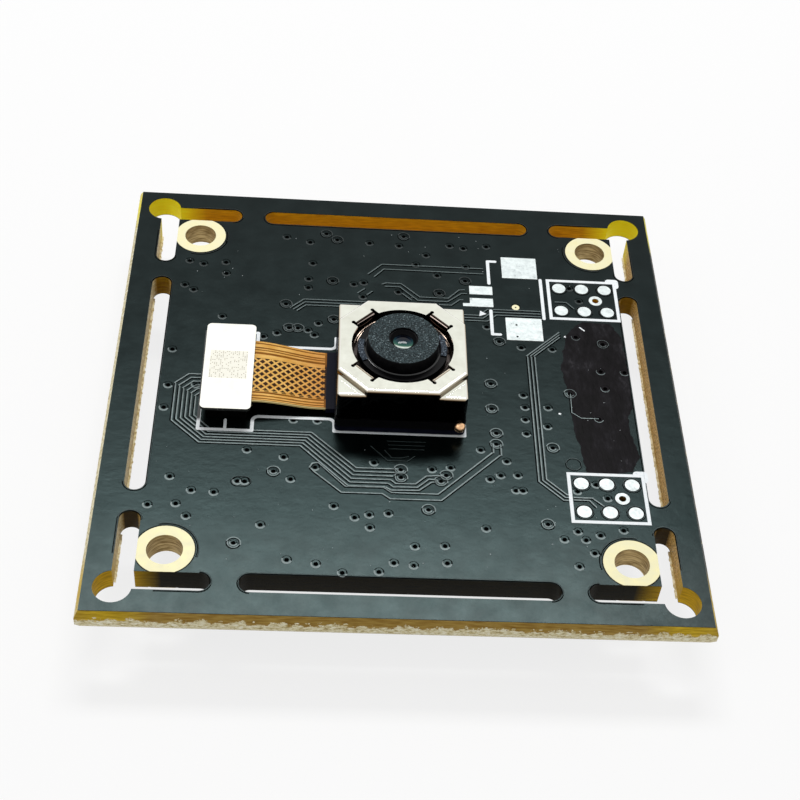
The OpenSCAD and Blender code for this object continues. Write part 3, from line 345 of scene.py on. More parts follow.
tufts = random.Random(11)
fringe_shape = bmesh.new()
for side in range(4):
    along = -board_half + 0.3
    while along < board_half - 0.3:
        length, depth = tufts.uniform(0.15, 0.5), tufts.uniform(0.03, 0.07)
        height = tufts.uniform(0.05, 0.13)
        z = tufts.choice((tufts.uniform(0.92, 1.14), tufts.uniform(0.46, 0.62)))
        chip = (Matrix.Rotation(side * math.pi / 2, 4, "Z")
            @ Matrix.Translation((along * MM, (depth - board_half) * MM, z * MM))
            @ Matrix.Rotation(tufts.uniform(-0.25, 0.25), 4, "Y")
            @ Matrix.Diagonal((length / 2 * MM, depth * 0.98 * MM, height * MM, 1)))
        bmesh.ops.create_icosphere(fringe_shape, subdivisions=1, radius=1, matrix=chip)
        along += length * tufts.uniform(0.5, 1.1)
for vert in fringe_shape.verts:
    vert.co = [min(max(size, -board_half * MM), board_half * MM) for size in vert.co]
finish_piece("torn_edge_fibres", fringe_shape, fibre_finish)

slot_line, slot_w = board_half - 2.5, 1.3
slot_runs = ((-9.0, 9.0), (12.0, 15.6), (-15.6, -12.0))
burr_shape = bmesh.new()
for side in range(4):
    turn = Matrix.Rotation(side * math.pi / 2, 3, "Z")
    for start, end in slot_runs:
        before = len(burr_shape.verts)
        bmesh.ops.create_grid(burr_shape, x_segments=round((end - start) / 0.12), y_segments=1,
            size=0.5)
        burr_shape.verts.ensure_lookup_table()
        for vert in burr_shape.verts[before:]:
            x = start + (end - start) * (vert.co.x + 0.5)
            root = vert.co.y < 0
            ragged = 0.13 + 0.06 * wander((x * 4, side * 5, 0)) + 0.04 * wander((x * 14, side, 3))
            y = -slot_line - slot_w / 2 + (-0.01 if root else ragged)
            z = 0.09 if root else 0.05 + 0.02 * wander((x * 9, 7, 0))
            vert.co = turn @ (Vector((x, y, z)) * MM)
thickened(burr_shape, 0.03)
finish_piece("router_burrs", burr_shape, fibre_finish, smooth=0)


# ---- Solder mask -------------------------------
# Black liquid mask printed and cured over both faces: glossy, faintly blue-green, and cloudy
# where its thickness over the copper varies.

mask_dark = (0.0005, 0.001, 0.001)
black_mask = new_finish("black_solder_mask", mask_dark, 0.35, Specular_IOR_Level=0.122,
    Specular_Tint=(0.63, 1.0, 1.0, 1))
tree = black_mask.node_tree
tone = shades(tree, grain(tree, 3.5, 5, rough=0.6),
    [(0.35, mask_dark), (0.7, (0.002, 0.0035, 0.0035))])
# Painted highlight: a patchy grey glare on the mask near the front edge, fading towards the back.
painted_glare = where_all(tree, falling(tree, axes_of(tree)["Y"], -18.5 * MM, -11 * MM),
    spread(tree, grain(tree, 1.1, 6, rough=0.7), 0.3, 1))
shader_takes(black_mask, Base_Color=mix_colours(tree, painted_glare, tone, (0.064, 0.068, 0.066)),
    Roughness=spread(tree, grain(tree, 1.6, 4), 0.21, 0.28))
relief(black_mask, grain(tree, 0.8, 6, (0.9, 1.1, 1), 0.6), 0.01)
dress(black_mask, "solder_mask_front", "solder_mask_back")


# ---- Copper under the mask ---------------------
# Etched tracks 0.14 to 0.2 mm wide that stand as low ridges under the mask, in parallel
# bundles from the flex connector and from the microphones.

face_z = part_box("solder_mask_front")[1].z / MM
shade_finish = new_finish("mask_in_shade", (0.0008, 0.0018, 0.0018), 0.6,
    Specular_IOR_Level=0.01)


def highlight_finish(name, near, far):
    """Painted highlight for mask slopes that face the far side: grey, and greyer the nearer it lies
    to the front.
    """
    finish = new_finish(name, near, 0.4, Specular_IOR_Level=0.15)
    tree = finish.node_tree
    mottled_highlight = shades(tree, grain(tree, 0.25, 3),
        [(0.3, tuple(0.7 * c for c in near)), (0.6, near)])
    shader_takes(finish, Base_Color=mix_colours(tree,
        rising(tree, axes_of(tree)["Y"], -3 * MM, 9 * MM), mottled_highlight, far))
    return finish


# Painted highlights for the tracks' and lips' far-facing slopes, brighter near the front.
track_light = highlight_finish("mask_slope_highlight", (0.4, 0.48, 0.48), (0.12, 0.155, 0.155))
faint_light = highlight_finish("mask_lip_highlight", (0.09, 0.12, 0.12), (0.012, 0.018, 0.018))


def part_slopes(name, shape, light):
    """Parts the slopes that turn to the far side, painted grey as highlight, from the rest, painted
    dark as shade.
    """
    far_way, least = (0.3, 1, 0), 0.004
    shade = shape.copy()
    for part, finish, ending, sign in ((shape, light, "", -1), (shade, shade_finish, "_shade", 1)):
        part.normal_update()
        bmesh.ops.delete(part, context="FACES", geom=[face for face in part.faces
            if sign * (face.normal.dot(far_way) - least) > 0])
        finish_piece(name + ending, part, finish, smooth=0)


def bundle(first, last, count):
    """Parallel tracks from the first to the last, evenly spaced."""
    share = [step / (count - 1) for step in range(count)]
    return [[Vector(a).lerp(Vector(b), t) for a, b in zip(first, last)] for t in share]


def ridges(name, tracks, width=0.2, height=0.013, finish=track_light, slot="solder_mask",
        closed=False):
    """Low roofs on the board's face along lines of (x, y) points."""
    line = bpy.data.curves.new(name, "CURVE")
    line.dimensions = "3D"
    line.bevel_depth = width * MM / 2
    line.bevel_resolution = 0
    line.use_fill_caps = True
    for track in tracks:
        run = line.splines.new("POLY")
        run.use_cyclic_u = closed
        run.points.add(len(track) - 1)
        for point, (x, y) in zip(run.points, track):
            point.co = (x * MM, y * MM, 0, 1)
    carrier = bpy.data.objects.new(name + "_line", line)
    shape = bmesh.new()
    shape.from_mesh(carrier.to_mesh())
    bpy.data.objects.remove(carrier)
    bpy.data.curves.remove(line)
    bmesh.ops.scale(shape, verts=shape.verts, vec=(1, 1, 2 * height / width))
    bmesh.ops.translate(shape, verts=shape.verts, vec=(0, 0, face_z * MM))
    if slot == "solder_mask":
        part_slopes(name, shape, finish)
    else:
        finish_piece(name, shape, finish, smooth=60)


ridges("masked_tracks_far", [
    *bundle([(-7.5, 7.05), (-6.55, 7.98), (-1.0, 7.98), (-0.1, 7.1), (5.7, 7.1), (6.35, 7.75),
            (10.1, 7.75)],
        [(-7.0, 6.8), (-6.4, 7.4), (-1.25, 7.4), (-0.35, 6.55), (6.3, 6.55), (6.95, 7.2),
            (10.1, 7.2)], 3),
    [(-2.1, 10.85), (-1.1, 11.95), (6.2, 11.95)],
    [(-1.65, 10.6), (-0.95, 11.45), (6.2, 11.4)],
    [(-1.1, 9.85), (-0.8, 10), (0.25, 10), (1.55, 8.7), (3.6, 8.7), (4.4, 9.6), (4.8, 9.65)],
    [(-0.9, 9.65), (0.15, 9.65), (1.4, 8.35), (3.55, 8.35), (4.55, 9.25), (4.95, 9.25)],
    [(0.25, 9.05), (0.95, 8.35)],
    [(2.9, 8), (3.8, 8), (4.4, 8.6), (4.65, 8.6)],
    [(-2.8, 8.85), (-2.3, 9.35)],
    [(-2.15, 8.7), (-1.75, 9.1)]])
ridges("masked_tracks_left", [
    *bundle([(-12.9, 0.35), (-13.9, 0.35), (-14.75, -0.5), (-14.75, -3.8), (-12.85, -5.62),
            (-6.4, -5.62), (-3.3, -8.8), (-0.95, -8.8)],
        [(-12.9, -1.3), (-13.05, -1.3), (-13.35, -1.6), (-13.35, -3.3), (-12.2, -4.45),
            (-5.7, -4.45), (-2.8, -7.3), (-0.1, -7.3)], 6),
    [(-0.95, -8.8), (-0.6, -9.05), (1.2, -9.0), (2.0, -8.3), (2.35, -8.25)],
    [(-0.78, -8.5), (-0.45, -8.78), (1.1, -8.75), (1.85, -8.05), (2.35, -8.1)],
    [(-0.61, -8.2), (-0.3, -8.5), (0.98, -8.48), (1.69, -7.8), (2.7, -7.7)]])
ridges("masked_tracks_beside_module", [
    *bundle([(-0.8, -4.95), (1.7, -4.95)], [(-0.7, -5.6), (1.6, -5.6)], 3),
    [(-1.9, -5.4), (-0.8, -6.6), (0.5, -6.6), (1.0, -6.15)],
    [(-1, -5.7), (-0.55, -6.35), (0.1, -6.35), (0.6, -6.2)]], 0.14, 0.01, faint_light)
ridges("masked_tracks_right", [
    *bundle([(11.3, 5.75), (8.85, 3.3), (8.85, -7.9), (10.35, -9.4), (10.8, -9.4)],
        [(11.3, 5.25), (9.35, 3.3), (9.35, -7.7), (10.6, -8.95), (10.8, -8.95)], 3),
    [(11.55, -0.1), (11.5, -1.8), (12.1, -2.3), (13.3, -2.3)],
    [(11.2, 8.8), (12.0, 8.8), (12.5, 8.2)],
    [(11, -9.15), (12.2, -9.15), (12.9, -9.8)],
    [(11, -9.35), (12, -9.35), (12.4, -9.9)]])
ridges("masked_supply_track", [
    [(-5.72, -7.4), (-5.55, -7.05), (-5.2, -6.98), (-3.48, -8.85), (-1.05, -8.85), (-0.55, -9.25),
        (2.4, -9.25), (6.05, -5.6), (6.05, -4.85)],
    [(-5.72, -7.4), (-5.5, -7.7), (-3.72, -9.35), (-1.15, -9.35), (-0.65, -9.75), (2.6, -9.75),
        (6.55, -5.8), (6.55, -4.85)]])


# ---- Vias --------------------------------------
# Plated holes 0.3 mm across that join the copper layers. The mask closes over them and sinks
# in, which leaves a small dimple, some of them in a round island of copper; the dimple's dark
# middle is painted shade and its near slope a painted highlight.

ringed_vias = [(-5.15, 15), (-7.8, 7.45), (-7.5, 5.1), (-6.9, 5.1), (-4.35, 14.4), (0.5, 15.1),
    (4.85, 10.6), (-4.6, 10), (2.95, 9.2), (-4.45, 6.1), (7.0, 4.6), (10, -5), (6.2, 0.55),
    (6.15, -1.75), (6.35, -3.9), (6.3, -4.85), (14.25, 4.75), (11.55, -0.1), (-8, -7.8),
    (-10.15, -13.55), (1.75, -10.5), (9.2, -11.35), (0.05, -7.3), (0.05, -7.95), (2.6, -8.15),
    (2.95, -7.65)]
plain_vias = [(-14.75, 11.45), (-13.75, 11.2), (-12.2, 11.45), (-12.1, 10.3), (-14.9, 8.95),
    (-14.25, 8.5), (-12.1, 5.95), (-8, 14.45), (-6.3, 14), (-6.05, 11.75), (-6.3, 10.1),
    (-6.3, 9.2), (-5.5, 5.65), (-6.2, 4.95), (-5.75, 4.5), (-8.3, 4.55), (-9.2, 4.15),
    (-2, 14.2), (0.15, 14.05), (3.85, 14.3), (4.85, 14.1), (6.55, 14.4), (2.1, 13.15),
    (1.35, 12.1), (4.95, 12.1), (2.85, 11.05), (-3.1, 9.75), (-2.4, 9.95), (-2.45, 8.5),
    (0.05, 9.15), (6.2, 6.0), (-15.2, 2.6), (-15.2, -0.7), (-13.4, -0.6), (-15.3, -2.7),
    (-6.9, -3.4), (-5.35, -3.4), (8.5, 4.1), (10.65, 4.05), (8.35, -0.4), (8.4, -1.5),
    (8.35, -2.6), (8.35, -3.85), (9.95, -1.45), (9.8, -3.15), (12.4, 5.35), (13.85, 2.1),
    (15.5, 2.1), (14, 0.5), (12.35, 10.3), (12.95, 9.0), (11.3, -8.6), (12.55, -8.0),
    (13.2, -9.1), (-9.75, -6.1), (-7.4, -6.6), (-6.9, -8.4), (-10.2, -8.7), (-9.75, -8.7),
    (-14.4, -8.5), (-13, -9.55), (-11.6, -9.65), (-13.85, -10.65), (-15.55, -10.8),
    (-13.15, -11.6), (-8.6, -12.1), (-6.9, -14.7), (-5.15, -14.95), (-3.55, -15.55),
    (-1.35, -15.4), (-4.15, -10.45), (-2.85, -11.3), (-1.95, -11.05), (-0.75, -10.9),
    (-1.9, -12.05), (0.85, -13.4), (2.7, -13.3), (-0.45, -14.7), (0.75, -14.85), (2.8, -14.6),
    (5.3, -11.85), (-1.65, -6.8), (2.05, -7.2), (3.25, -7), (5.25, -5.4), (6.9, -6.3),
    (6.45, -7.5), (7.55, -7.45), (5.75, -7.85), (7.35, -8.7), (7.8, -8.7), (11.05, -11.85),
    (10.15, -12.5), (11.5, -12.5), (12.45, -12.1), (13.95, -11.65), (11.95, -13.5),
    (10.9, -14.55), (13.3, -2.3), (-5.4, -7.35)]


def turned(profile, steps, height=0.0):
    """A closed profile of (radius, height) points in millimetres, turned once round the Z axis."""
    shape = bmesh.new()
    corners = [shape.verts.new((r * MM, 0, (height + z) * MM)) for r, z in profile]
    edges = [shape.edges.new(pair) for pair in zip(corners, corners[1:] + corners[:1])]
    bmesh.ops.spin(shape, geom=corners + edges, cent=(0, 0, 0), axis=(0, 0, 1),
        angle=math.tau, steps=steps, use_merge=True)
    bmesh.ops.remove_doubles(shape, verts=shape.verts, dist=0.0002 * MM)
    bmesh.ops.recalc_face_normals(shape, faces=shape.faces)
    return shape


def add_copies(shape, part, places):
    """Adds a copy of a small part at each place on the board, and lets the part go."""
    pattern = bpy.data.meshes.new("pattern")
    part.to_mesh(pattern)
    part.free()
    for x, y in places:
        before = len(shape.verts)
        shape.from_mesh(pattern)
        shape.verts.ensure_lookup_table()
        bmesh.ops.translate(shape, verts=shape.verts[before:], vec=(x * MM, y * MM, 0))
    bpy.data.meshes.remove(pattern)


def dimple_rim(radius):
    """The edge of a dimple, where the mask sinks in: thin on the far side, broad on the near."""
    rim_shape = turned([(radius, -0.002), (radius - 0.005, 0.009), (radius * 0.72, 0.002),
        (radius * 0.71, -0.002)], 18, face_z)
    for vert in rim_shape.verts:
        if vert.co.xy.length < 0.8 * radius * MM:
            vert.co.y += 0.17 * radius * MM
    return rim_shape


via_shapes = bmesh.new()
island_edge = [(0.475, -0.002), (0.47, 0.0), (0.39, 0.014), (0.315, 0.0), (0.31, -0.002)]
add_copies(via_shapes, dimple_rim(0.33), plain_vias)
add_copies(via_shapes, dimple_rim(0.26), ringed_vias)
add_copies(via_shapes, turned(island_edge, 20, face_z), ringed_vias)
part_slopes("masked_vias", via_shapes,
    highlight_finish("mask_via_highlight", (0.26, 0.32, 0.32), (0.022, 0.03, 0.03)))

# Painted shade: black discs stand for the shade down in the vias, the pad pinholes and the test
# point's dimple.
pit_shade_finish = new_finish("painted_pit_shade", (0.001, 0.001, 0.001), 0.8, Specular_IOR_Level=0.0)
pit_shapes = bmesh.new()
via_pit = [(0.0, 0.007), (0.15, 0.007), (0.15, 0.001), (0.0, 0.001)]
pad_pit = [(0.0, 0.004), (0.08, 0.003), (0.08, 0.0), (0.0, 0.0)]
test_pit = [(0.0, 0.003), (0.06, 0.003), (0.06, 0.0), (0.0, 0.0)]
add_copies(pit_shapes, turned(via_pit, 12, face_z), plain_vias + ringed_vias)
add_copies(pit_shapes, turned(pad_pit, 10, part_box("wafer_pads")[1].z / MM),
    [(8.3, 6.3), (8.3, 5.15)])
test_low, test_high = (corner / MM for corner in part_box("test_point"))
add_copies(pit_shapes, turned(test_pit, 10, test_high.z), [((test_low + test_high) / 2).xy])
finish_piece("via_pits", pit_shapes, pit_shade_finish)


# ---- Mask edges --------------------------------
# The mask stands up in a thin lip where it stops: round the routed slots, round each pad and
# round the plated rings.

cap_steps = 12


def stadium(x0, y0, x1, y1, radius):
    """A closed line at a radius round a straight run from one place to another."""
    way = math.atan2(y1 - y0, x1 - x0)
    turns = [math.pi * (step / cap_steps - 0.5) for step in range(cap_steps + 1)]
    return [(x + radius * math.cos(way + half + turn), y + radius * math.sin(way + half + turn))
        for x, y, half in ((x1, y1, 0), (x0, y0, math.pi)) for turn in turns]


def round_line(x, y, radius):
    return stadium(x, y, x + 0.0001, y, radius)


def quarter_turns(line):
    """The same line on all four sides of the board."""
    return [[Matrix.Rotation(side * math.pi / 2, 2) @ Vector(point) for point in line]
        for side in range(4)]


lip_r = slot_w / 2 + 0.07
slot_lips = quarter_turns(stadium(-9.0, -slot_line, 9.0, -slot_line, lip_r))
end_cap = stadium(12.0, -slot_line, 14.6, -slot_line, lip_r)
for mirror in (1, -1):
    slot_lips += quarter_turns([(mirror * x, y) for x, y in end_cap[cap_steps + 1:] + end_cap[:1]])
hole_at, plating_r = 14.2, 1.99
slot_lips += quarter_turns([(hole_at + plating_r * math.cos(math.radians(turn)),
    hole_at + plating_r * math.sin(math.radians(turn))) for turn in range(165, 290, 5)])
microphone_x, microphone_y, pad_column, pad_row = 13.25, 9.1, 1.65, 1.15
round_lips = [round_line(microphone_x + column * pad_column, y + row * pad_row, 0.58)
    for y in (microphone_y, -microphone_y) for column in (-1, 0, 1) for row in (-1, 1)]
round_lips += [round_line(11.25, -6.35, 0.5), stadium(-10.2, -8.7, -9.75, -8.7, 0.38)]
# Painted light: the lips' far-facing slopes take a faint painted highlight, the rest painted shade.
ridges("slot_mask_lips", slot_lips, 0.14, 0.016, faint_light)
ridges("round_mask_lips", round_lips, 0.12, 0.012, faint_light, closed=True)


# ---- Gold on the board -------------------------
# Nickel and a flash of gold on the mounting holes' rings and walls and on the test point,
# pale and satin, with fine scratches from the plating racks.

def upright_share(tree):
    """0 on level faces and 1 on upright ones."""
    return falling(tree, arithmetic(tree, "ABSOLUTE", axes_of(tree, "Normal")["Z"]), 0.35, 0.75)


gold_finish = new_finish("flash_gold", (0.41, 0.36, 0.2), 0.6, 1.0)
tree = gold_finish.node_tree
satin = grain(tree, 0.5, 5)
ring_gold = shades(tree, satin, [(0.3, (0.44, 0.41, 0.25)), (0.7, (0.54, 0.52, 0.37))])
# Painted shade: the holes' upright walls are a darker, browner gold than the level rings.
shaded_wall_gold = shades(tree, grain(tree, 0.3, 4, (0.4, 0.4, 3)),
    [(0.35, (0.24, 0.16, 0.06)), (0.65, (0.62, 0.48, 0.24))])
shader_takes(gold_finish, Base_Color=mix_colours(tree, upright_share(tree), ring_gold, shaded_wall_gold),
    Roughness=spread(tree, satin, 0.55, 0.68))
relief(gold_finish, grain(tree, 0.1, 4), 0.002)
dress(gold_finish, "mounting_hole_plating", "test_point", "plug_contacts", "socket_contacts")


# ---- Printing ----------------------------------
# White epoxy ink, screened over the mask and baked: thin, matt, slightly blue, and patchy at
# its edges.

print_finish = new_finish("white_epoxy_ink", (0.8, 0.86, 0.9), 0.55)
tree = print_finish.node_tree
ink_tone = shades(tree, grain(tree, 0.16, 5, rough=0.7),
    [(0.3, (0.5, 0.58, 0.63)), (0.42, (0.9, 0.95, 0.98)), (0.7, (0.97, 1.0, 1.0))])
axes = axes_of(tree)
# The ink is painted near black where x is below -12.9 mm and y above -3.8 mm, beside the connector.
dark_ink_x, dark_ink_y = -12.9 * MM, -3.8 * MM
darkened_ink = where_all(tree, falling(tree, axes["X"], dark_ink_x - 0.02 * MM, dark_ink_x),
    rising(tree, axes["Y"], dark_ink_y, dark_ink_y + 0.3 * MM))
shader_takes(print_finish, Base_Color=mix_colours(tree, darkened_ink, ink_tone, (0.01, 0.014, 0.014)))
relief(print_finish, grain(tree, 0.07, 4), 0.006)
dress(print_finish, "silkscreen_front", "silkscreen_back")


# ---- Tinned pads -------------------------------
# Solder levelled with hot air on the bare pads, so each one is bright, lumpy and a little
# grey where flux has dried.

tin_finish = new_finish("levelled_solder", (0.74, 0.79, 0.79), 0.45, 0.25, Specular_IOR_Level=0.2)
tree = tin_finish.node_tree
shader_takes(tin_finish,
    Base_Color=shades(tree, grain(tree, 0.35, 6, rough=0.72),
        [(0.3, (0.22, 0.25, 0.25)), (0.38, (0.52, 0.57, 0.57)), (0.6, (0.66, 0.72, 0.71))]),
    Roughness=spread(tree, grain(tree, 0.2, 4), 0.35, 0.5))
relief(tin_finish, grain(tree, 0.35, 3), 0.02)
dress(tin_finish, "wafer_pads", "microphone_pads", "solder_pads_back", "processor_pads")


# ---- Ink blotch --------------------------------
# A broad stroke of black marker ink between the microphones, brownish and streaky, with an
# uneven edge where the pen stopped.

ink_finish = new_finish("marker_ink", (0.02, 0.012, 0.014), 0.4, Specular_IOR_Level=0.03)
tree = ink_finish.node_tree
streaks = grain(tree, 1.1, 7, (1.3, 0.5, 1), 0.7)
shader_takes(ink_finish,
    Base_Color=shades(tree, streaks, [(0.32, (0.0005, 0.0003, 0.0005)),
        (0.5, (0.005, 0.004, 0.005)), (0.6, (0.012, 0.011, 0.013)), (0.72, (0.045, 0.042, 0.047))]),
    Roughness=spread(tree, streaks, 0.25, 0.5))
relief(ink_finish, grain(tree, 0.3, 4, (1.4, 0.5, 1)), 0.012)

ink_t = 0.006
ink_outline = [(11.65, 5.2), (11.4, 3.9), (11.1, 2.2), (11.3, 0.8), (11.5, -1), (11.5, -2.8),
    (11.75, -4.5), (11.9, -6), (12.1, -7), (13.5, -7.1), (15.1, -6.8), (15.7, -5.5), (15.3, -3.4),
    (15.3, -2.1), (15.7, -1.2), (15.75, 3), (15.6, 5.6), (14.9, 6.8), (13.0, 6.9), (12.2, 6.2)]
ink_shape = bmesh.new()
ink_shape.faces.new([ink_shape.verts.new((x * MM, y * MM, face_z * MM)) for x, y in ink_outline])
bmesh.ops.subdivide_edges(ink_shape, edges=ink_shape.edges, cuts=9)
broad, fine = 0.5 * MM, 0.12 * MM
for vert in ink_shape.verts:
    vert.co.x += 0.14 * MM * wander(vert.co / broad) + 0.05 * MM * wander(vert.co / fine)
    vert.co.y += 0.1 * MM * wander((vert.co + Vector((0.01, 0, 0))) / broad)
bmesh.ops.translate(ink_shape, verts=ink_shape.verts, vec=(0, 0, ink_t * MM))
thickened(ink_shape, ink_t)
bmesh.ops.triangulate(ink_shape, faces=ink_shape.faces)
finish_piece("marker_blotch", ink_shape, ink_finish, smooth=0)


# ---- Module base and what it carries -----------
# A dark rigid substrate on an adhesive pad, the bare sensor, and a black moulded base with a
# blue-green infrared filter bonded in its shelf.

def plain_finish(name, colour, roughness, size, swing=0.25, depth=0.004, metallic=0.0,
        upright=None, **constants):
    """A finish whose colour and roughness vary a little, over a fine moulded or ground grain.

    upright is a colour painted on the upright faces as shade."""
    finish = new_finish(name, colour, roughness, metallic, **constants)
    tree = finish.node_tree
    cloud = grain(tree, size, 4)
    dark = tuple(c * (1 - swing) for c in colour)
    light = tuple(min(1, c * (1 + swing)) for c in colour)
    tone = shades(tree, cloud, [(0.3, dark), (0.7, light)])
    if upright:
        tone = mix_colours(tree, upright_share(tree), tone, upright)
    shader_takes(finish, Base_Color=tone,
        Roughness=spread(tree, cloud, roughness * 0.8, min(1, roughness * 1.2)))
    relief(finish, grain(tree, size * 0.3, 4), depth)
    return finish


moulded_black = plain_finish("moulded_black", (0.002, 0.002, 0.0025), 0.5, 0.3,
    Specular_IOR_Level=0.06)
dress(moulded_black, "actuator_base", "spring_spacer", "lens_retainer")
dress(plain_finish("adhesive_pad", (0.03, 0.03, 0.032), 0.8, 0.2), "module_adhesive")
dress(plain_finish("dark_laminate", (0.006, 0.007, 0.016), 0.35, 0.6, Specular_IOR_Level=0.03),
    "module_substrate")
dress(plain_finish("sensor_silicon", (0.05, 0.06, 0.1), 0.15, 0.8, metallic=0.5), "image_sensor")
dress(plain_finish("filter_glass", (0.25, 0.5, 0.52), 0.05, 1.0, depth=0.0,
    Transmission_Weight=0.7), "infrared_filter")


# ---- Springs, magnets and coil -----------------
# Two etched leaf springs of copper alloy clamp the four corner magnets between them; the coil
# of lacquered copper wire is wound on the carrier.

# Painted shade: the lower spring, the magnets' nickel and the coil are painted far darker than
# their metals, as they lie in the can's shade.
dress(plain_finish("spring_alloy_lower", (0.014, 0.008, 0.005), 0.35, 0.3, metallic=1.0),
    "lower_spring")
spring_finish = plain_finish("spring_alloy_upper", (0.9, 0.68, 0.52), 0.25, 0.3, metallic=1.0)
tree = spring_finish.node_tree
axes = axes_of(tree)
from_axis = flat_distance(tree, axes)
# Painted light: the upper spring is painted near black in the can's shade, save for a bright arc on
# its far side where the lamp catches it.
arc_in, arc_out = 3.02 * MM, 3.2 * MM
lit_arc = where_all(tree, rising(tree, from_axis, arc_in, arc_in + 0.03 * MM),
    falling(tree, from_axis, arc_out, arc_out + 0.03 * MM),
    rising(tree, axes["Y"], 0.6 * MM, 1.4 * MM))
shader_takes(spring_finish,
    Base_Color=mix_colours(tree, lit_arc, (0.003, 0.002, 0.0015), (0.92, 0.72, 0.58)))
dress(spring_finish, "upper_spring")
dress(plain_finish("nickel_on_magnet", (0.03, 0.028, 0.026), 0.4, 0.4, metallic=0.8),
    "corner_magnets")
dress(plain_finish("lacquered_copper", (0.01, 0.004, 0.002), 0.35, 0.1, metallic=0.6), "voice_coil")
dress(plain_finish("copper_solder", (0.85, 0.5, 0.28), 0.25, 0.25, metallic=1.0, depth=0.01),
    "terminal_solder")


# ---- Shield can --------------------------------
# Nickel silver drawn in one piece: an octagonal top, four corners set down below it, and a
# round opening with four flaps folded in beside their relief slots.

can_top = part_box("shield_can")[1].z
step_z = can_top - 0.45 * MM
riser_top, riser_foot, fold_r, opening_r = 6.2 * MM, 6.44 * MM, 3.8 * MM, 3.68 * MM
can_finish = new_finish("nickel_silver", (0.8, 0.8, 0.71), 0.16, 1.0)
tree = can_finish.node_tree
sides, facing = mirrored_axes(tree), axes_of(tree, "Normal")

sheet = shades(tree, grain(tree, 0.9, 5),
    [(0.3, (0.745, 0.75, 0.655)), (0.7, (0.85, 0.865, 0.77))])
tilt = arithmetic(tree, "ABSOLUTE", facing["Z"])
# Painted reflection: faces are painted darker the more upright they are, black on the walls, for
# the dark they mirror.
tilt_shade = shades(tree, tilt, [(0.12, (0.002, 0.002, 0.002)), (0.4, (0.05, 0.03, 0.015)),
    (0.62, (0.36, 0.27, 0.17)), (0.8, (0.66, 0.61, 0.5)), (0.96, (0.84, 0.83, 0.76))])
lift = rising(tree, sides["Z"], step_z, can_top)
# Painted shade and highlight: the corner risers are brown with a white glint along their top fold.
riser_light_and_shade = shades(tree, lift, [(0.0, (0.09, 0.07, 0.045)), (0.12, (0.16, 0.125, 0.085)),
    (0.6, (0.22, 0.18, 0.125)), (0.88, (0.36, 0.32, 0.25)), (0.95, (0.95, 0.94, 0.88))])
# Painted shade and highlight: the far flaps are near black with a pale line along the fold; the
# near flaps carry a cream glint.
far_flap_shade_and_glint = shades(tree, lift, [(0.6, (0.02, 0.008, 0.005)), (0.74, (0.025, 0.011, 0.008)),
    (0.79, (0.42, 0.33, 0.29)), (0.86, (0.42, 0.34, 0.3)), (0.91, (0.006, 0.004, 0.003))])
near_flap_glint = shades(tree, lift, [(0.8, (0.01, 0.006, 0.005)), (0.88, (0.9, 0.8, 0.64)),
    (0.965, (0.9, 0.8, 0.64)), (0.985, (0.3, 0.24, 0.17))])

outward = arithmetic(tree, "ADD", sides["X"], sides["Y"])
from_axis = flat_distance(tree, sides)
slanting = arithmetic(tree, "ABSOLUTE", arithmetic(tree, "MULTIPLY", facing["X"], facing["Y"]))
on_riser = where_all(tree, rising(tree, outward, riser_top, riser_top + 0.04 * MM),
    rising(tree, slanting, 0.01, 0.04), rising(tree, sides["Z"], step_z - 0.02 * MM, step_z))
on_flap = falling(tree, from_axis, fold_r, fold_r + 0.05 * MM)
far_half = rising(tree, axes_of(tree)["Y"], 0, 0.1 * MM)
folded = mix_colours(tree, on_flap, mix_colours(tree, on_riser, tilt_shade, riser_light_and_shade),
    mix_colours(tree, far_half, near_flap_glint, far_flap_shade_and_glint))
quite_level = arithmetic(tree, "MAXIMUM", rising(tree, tilt, 0.9985, 0.9998),
    rising(tree, from_axis, opening_r, opening_r + 0.02 * MM))
level_top = arithmetic(tree, "MINIMUM", rising(tree, tilt, 0.985, 0.998), quite_level)
# Painted highlight: the near flaps' cream glint is made non-metallic so that it shows.
bright_fold = where_all(tree, on_flap, rising(tree, lift, 0.8, 0.9),
    falling(tree, far_half, 0.3, 0.7), rising(tree, slanting, 0.002, 0.01))
shader_takes(can_finish, Base_Color=mix_colours(tree, level_top, folded, sheet),
    Roughness=spread(tree, grain(tree, 0.25, 4), 0.06, 0.09),
    Metallic=spread(tree, bright_fold, 1, 0.1))

step_fillet = where_all(tree, falling(tree, lift, 0.03, 0.1),
    falling(tree, outward, riser_foot + 0.06 * MM, riser_foot + 0.36 * MM),
    rising(tree, outward, riser_foot, riser_foot + 0.02 * MM))
swell = arithmetic(tree, "MULTIPLY", grain(tree, 0.12, 4), 0.006)
relief(can_finish, arithmetic(tree, "ADD", swell, step_fillet), 0.1)
dress(can_finish, "shield_can")


# ---- Lens barrel and carrier -------------------
# Black moulded pieces that slide together: the barrel, with a spark-eroded grain on its front
# face, screwed and glued into the carrier that holds the coil.

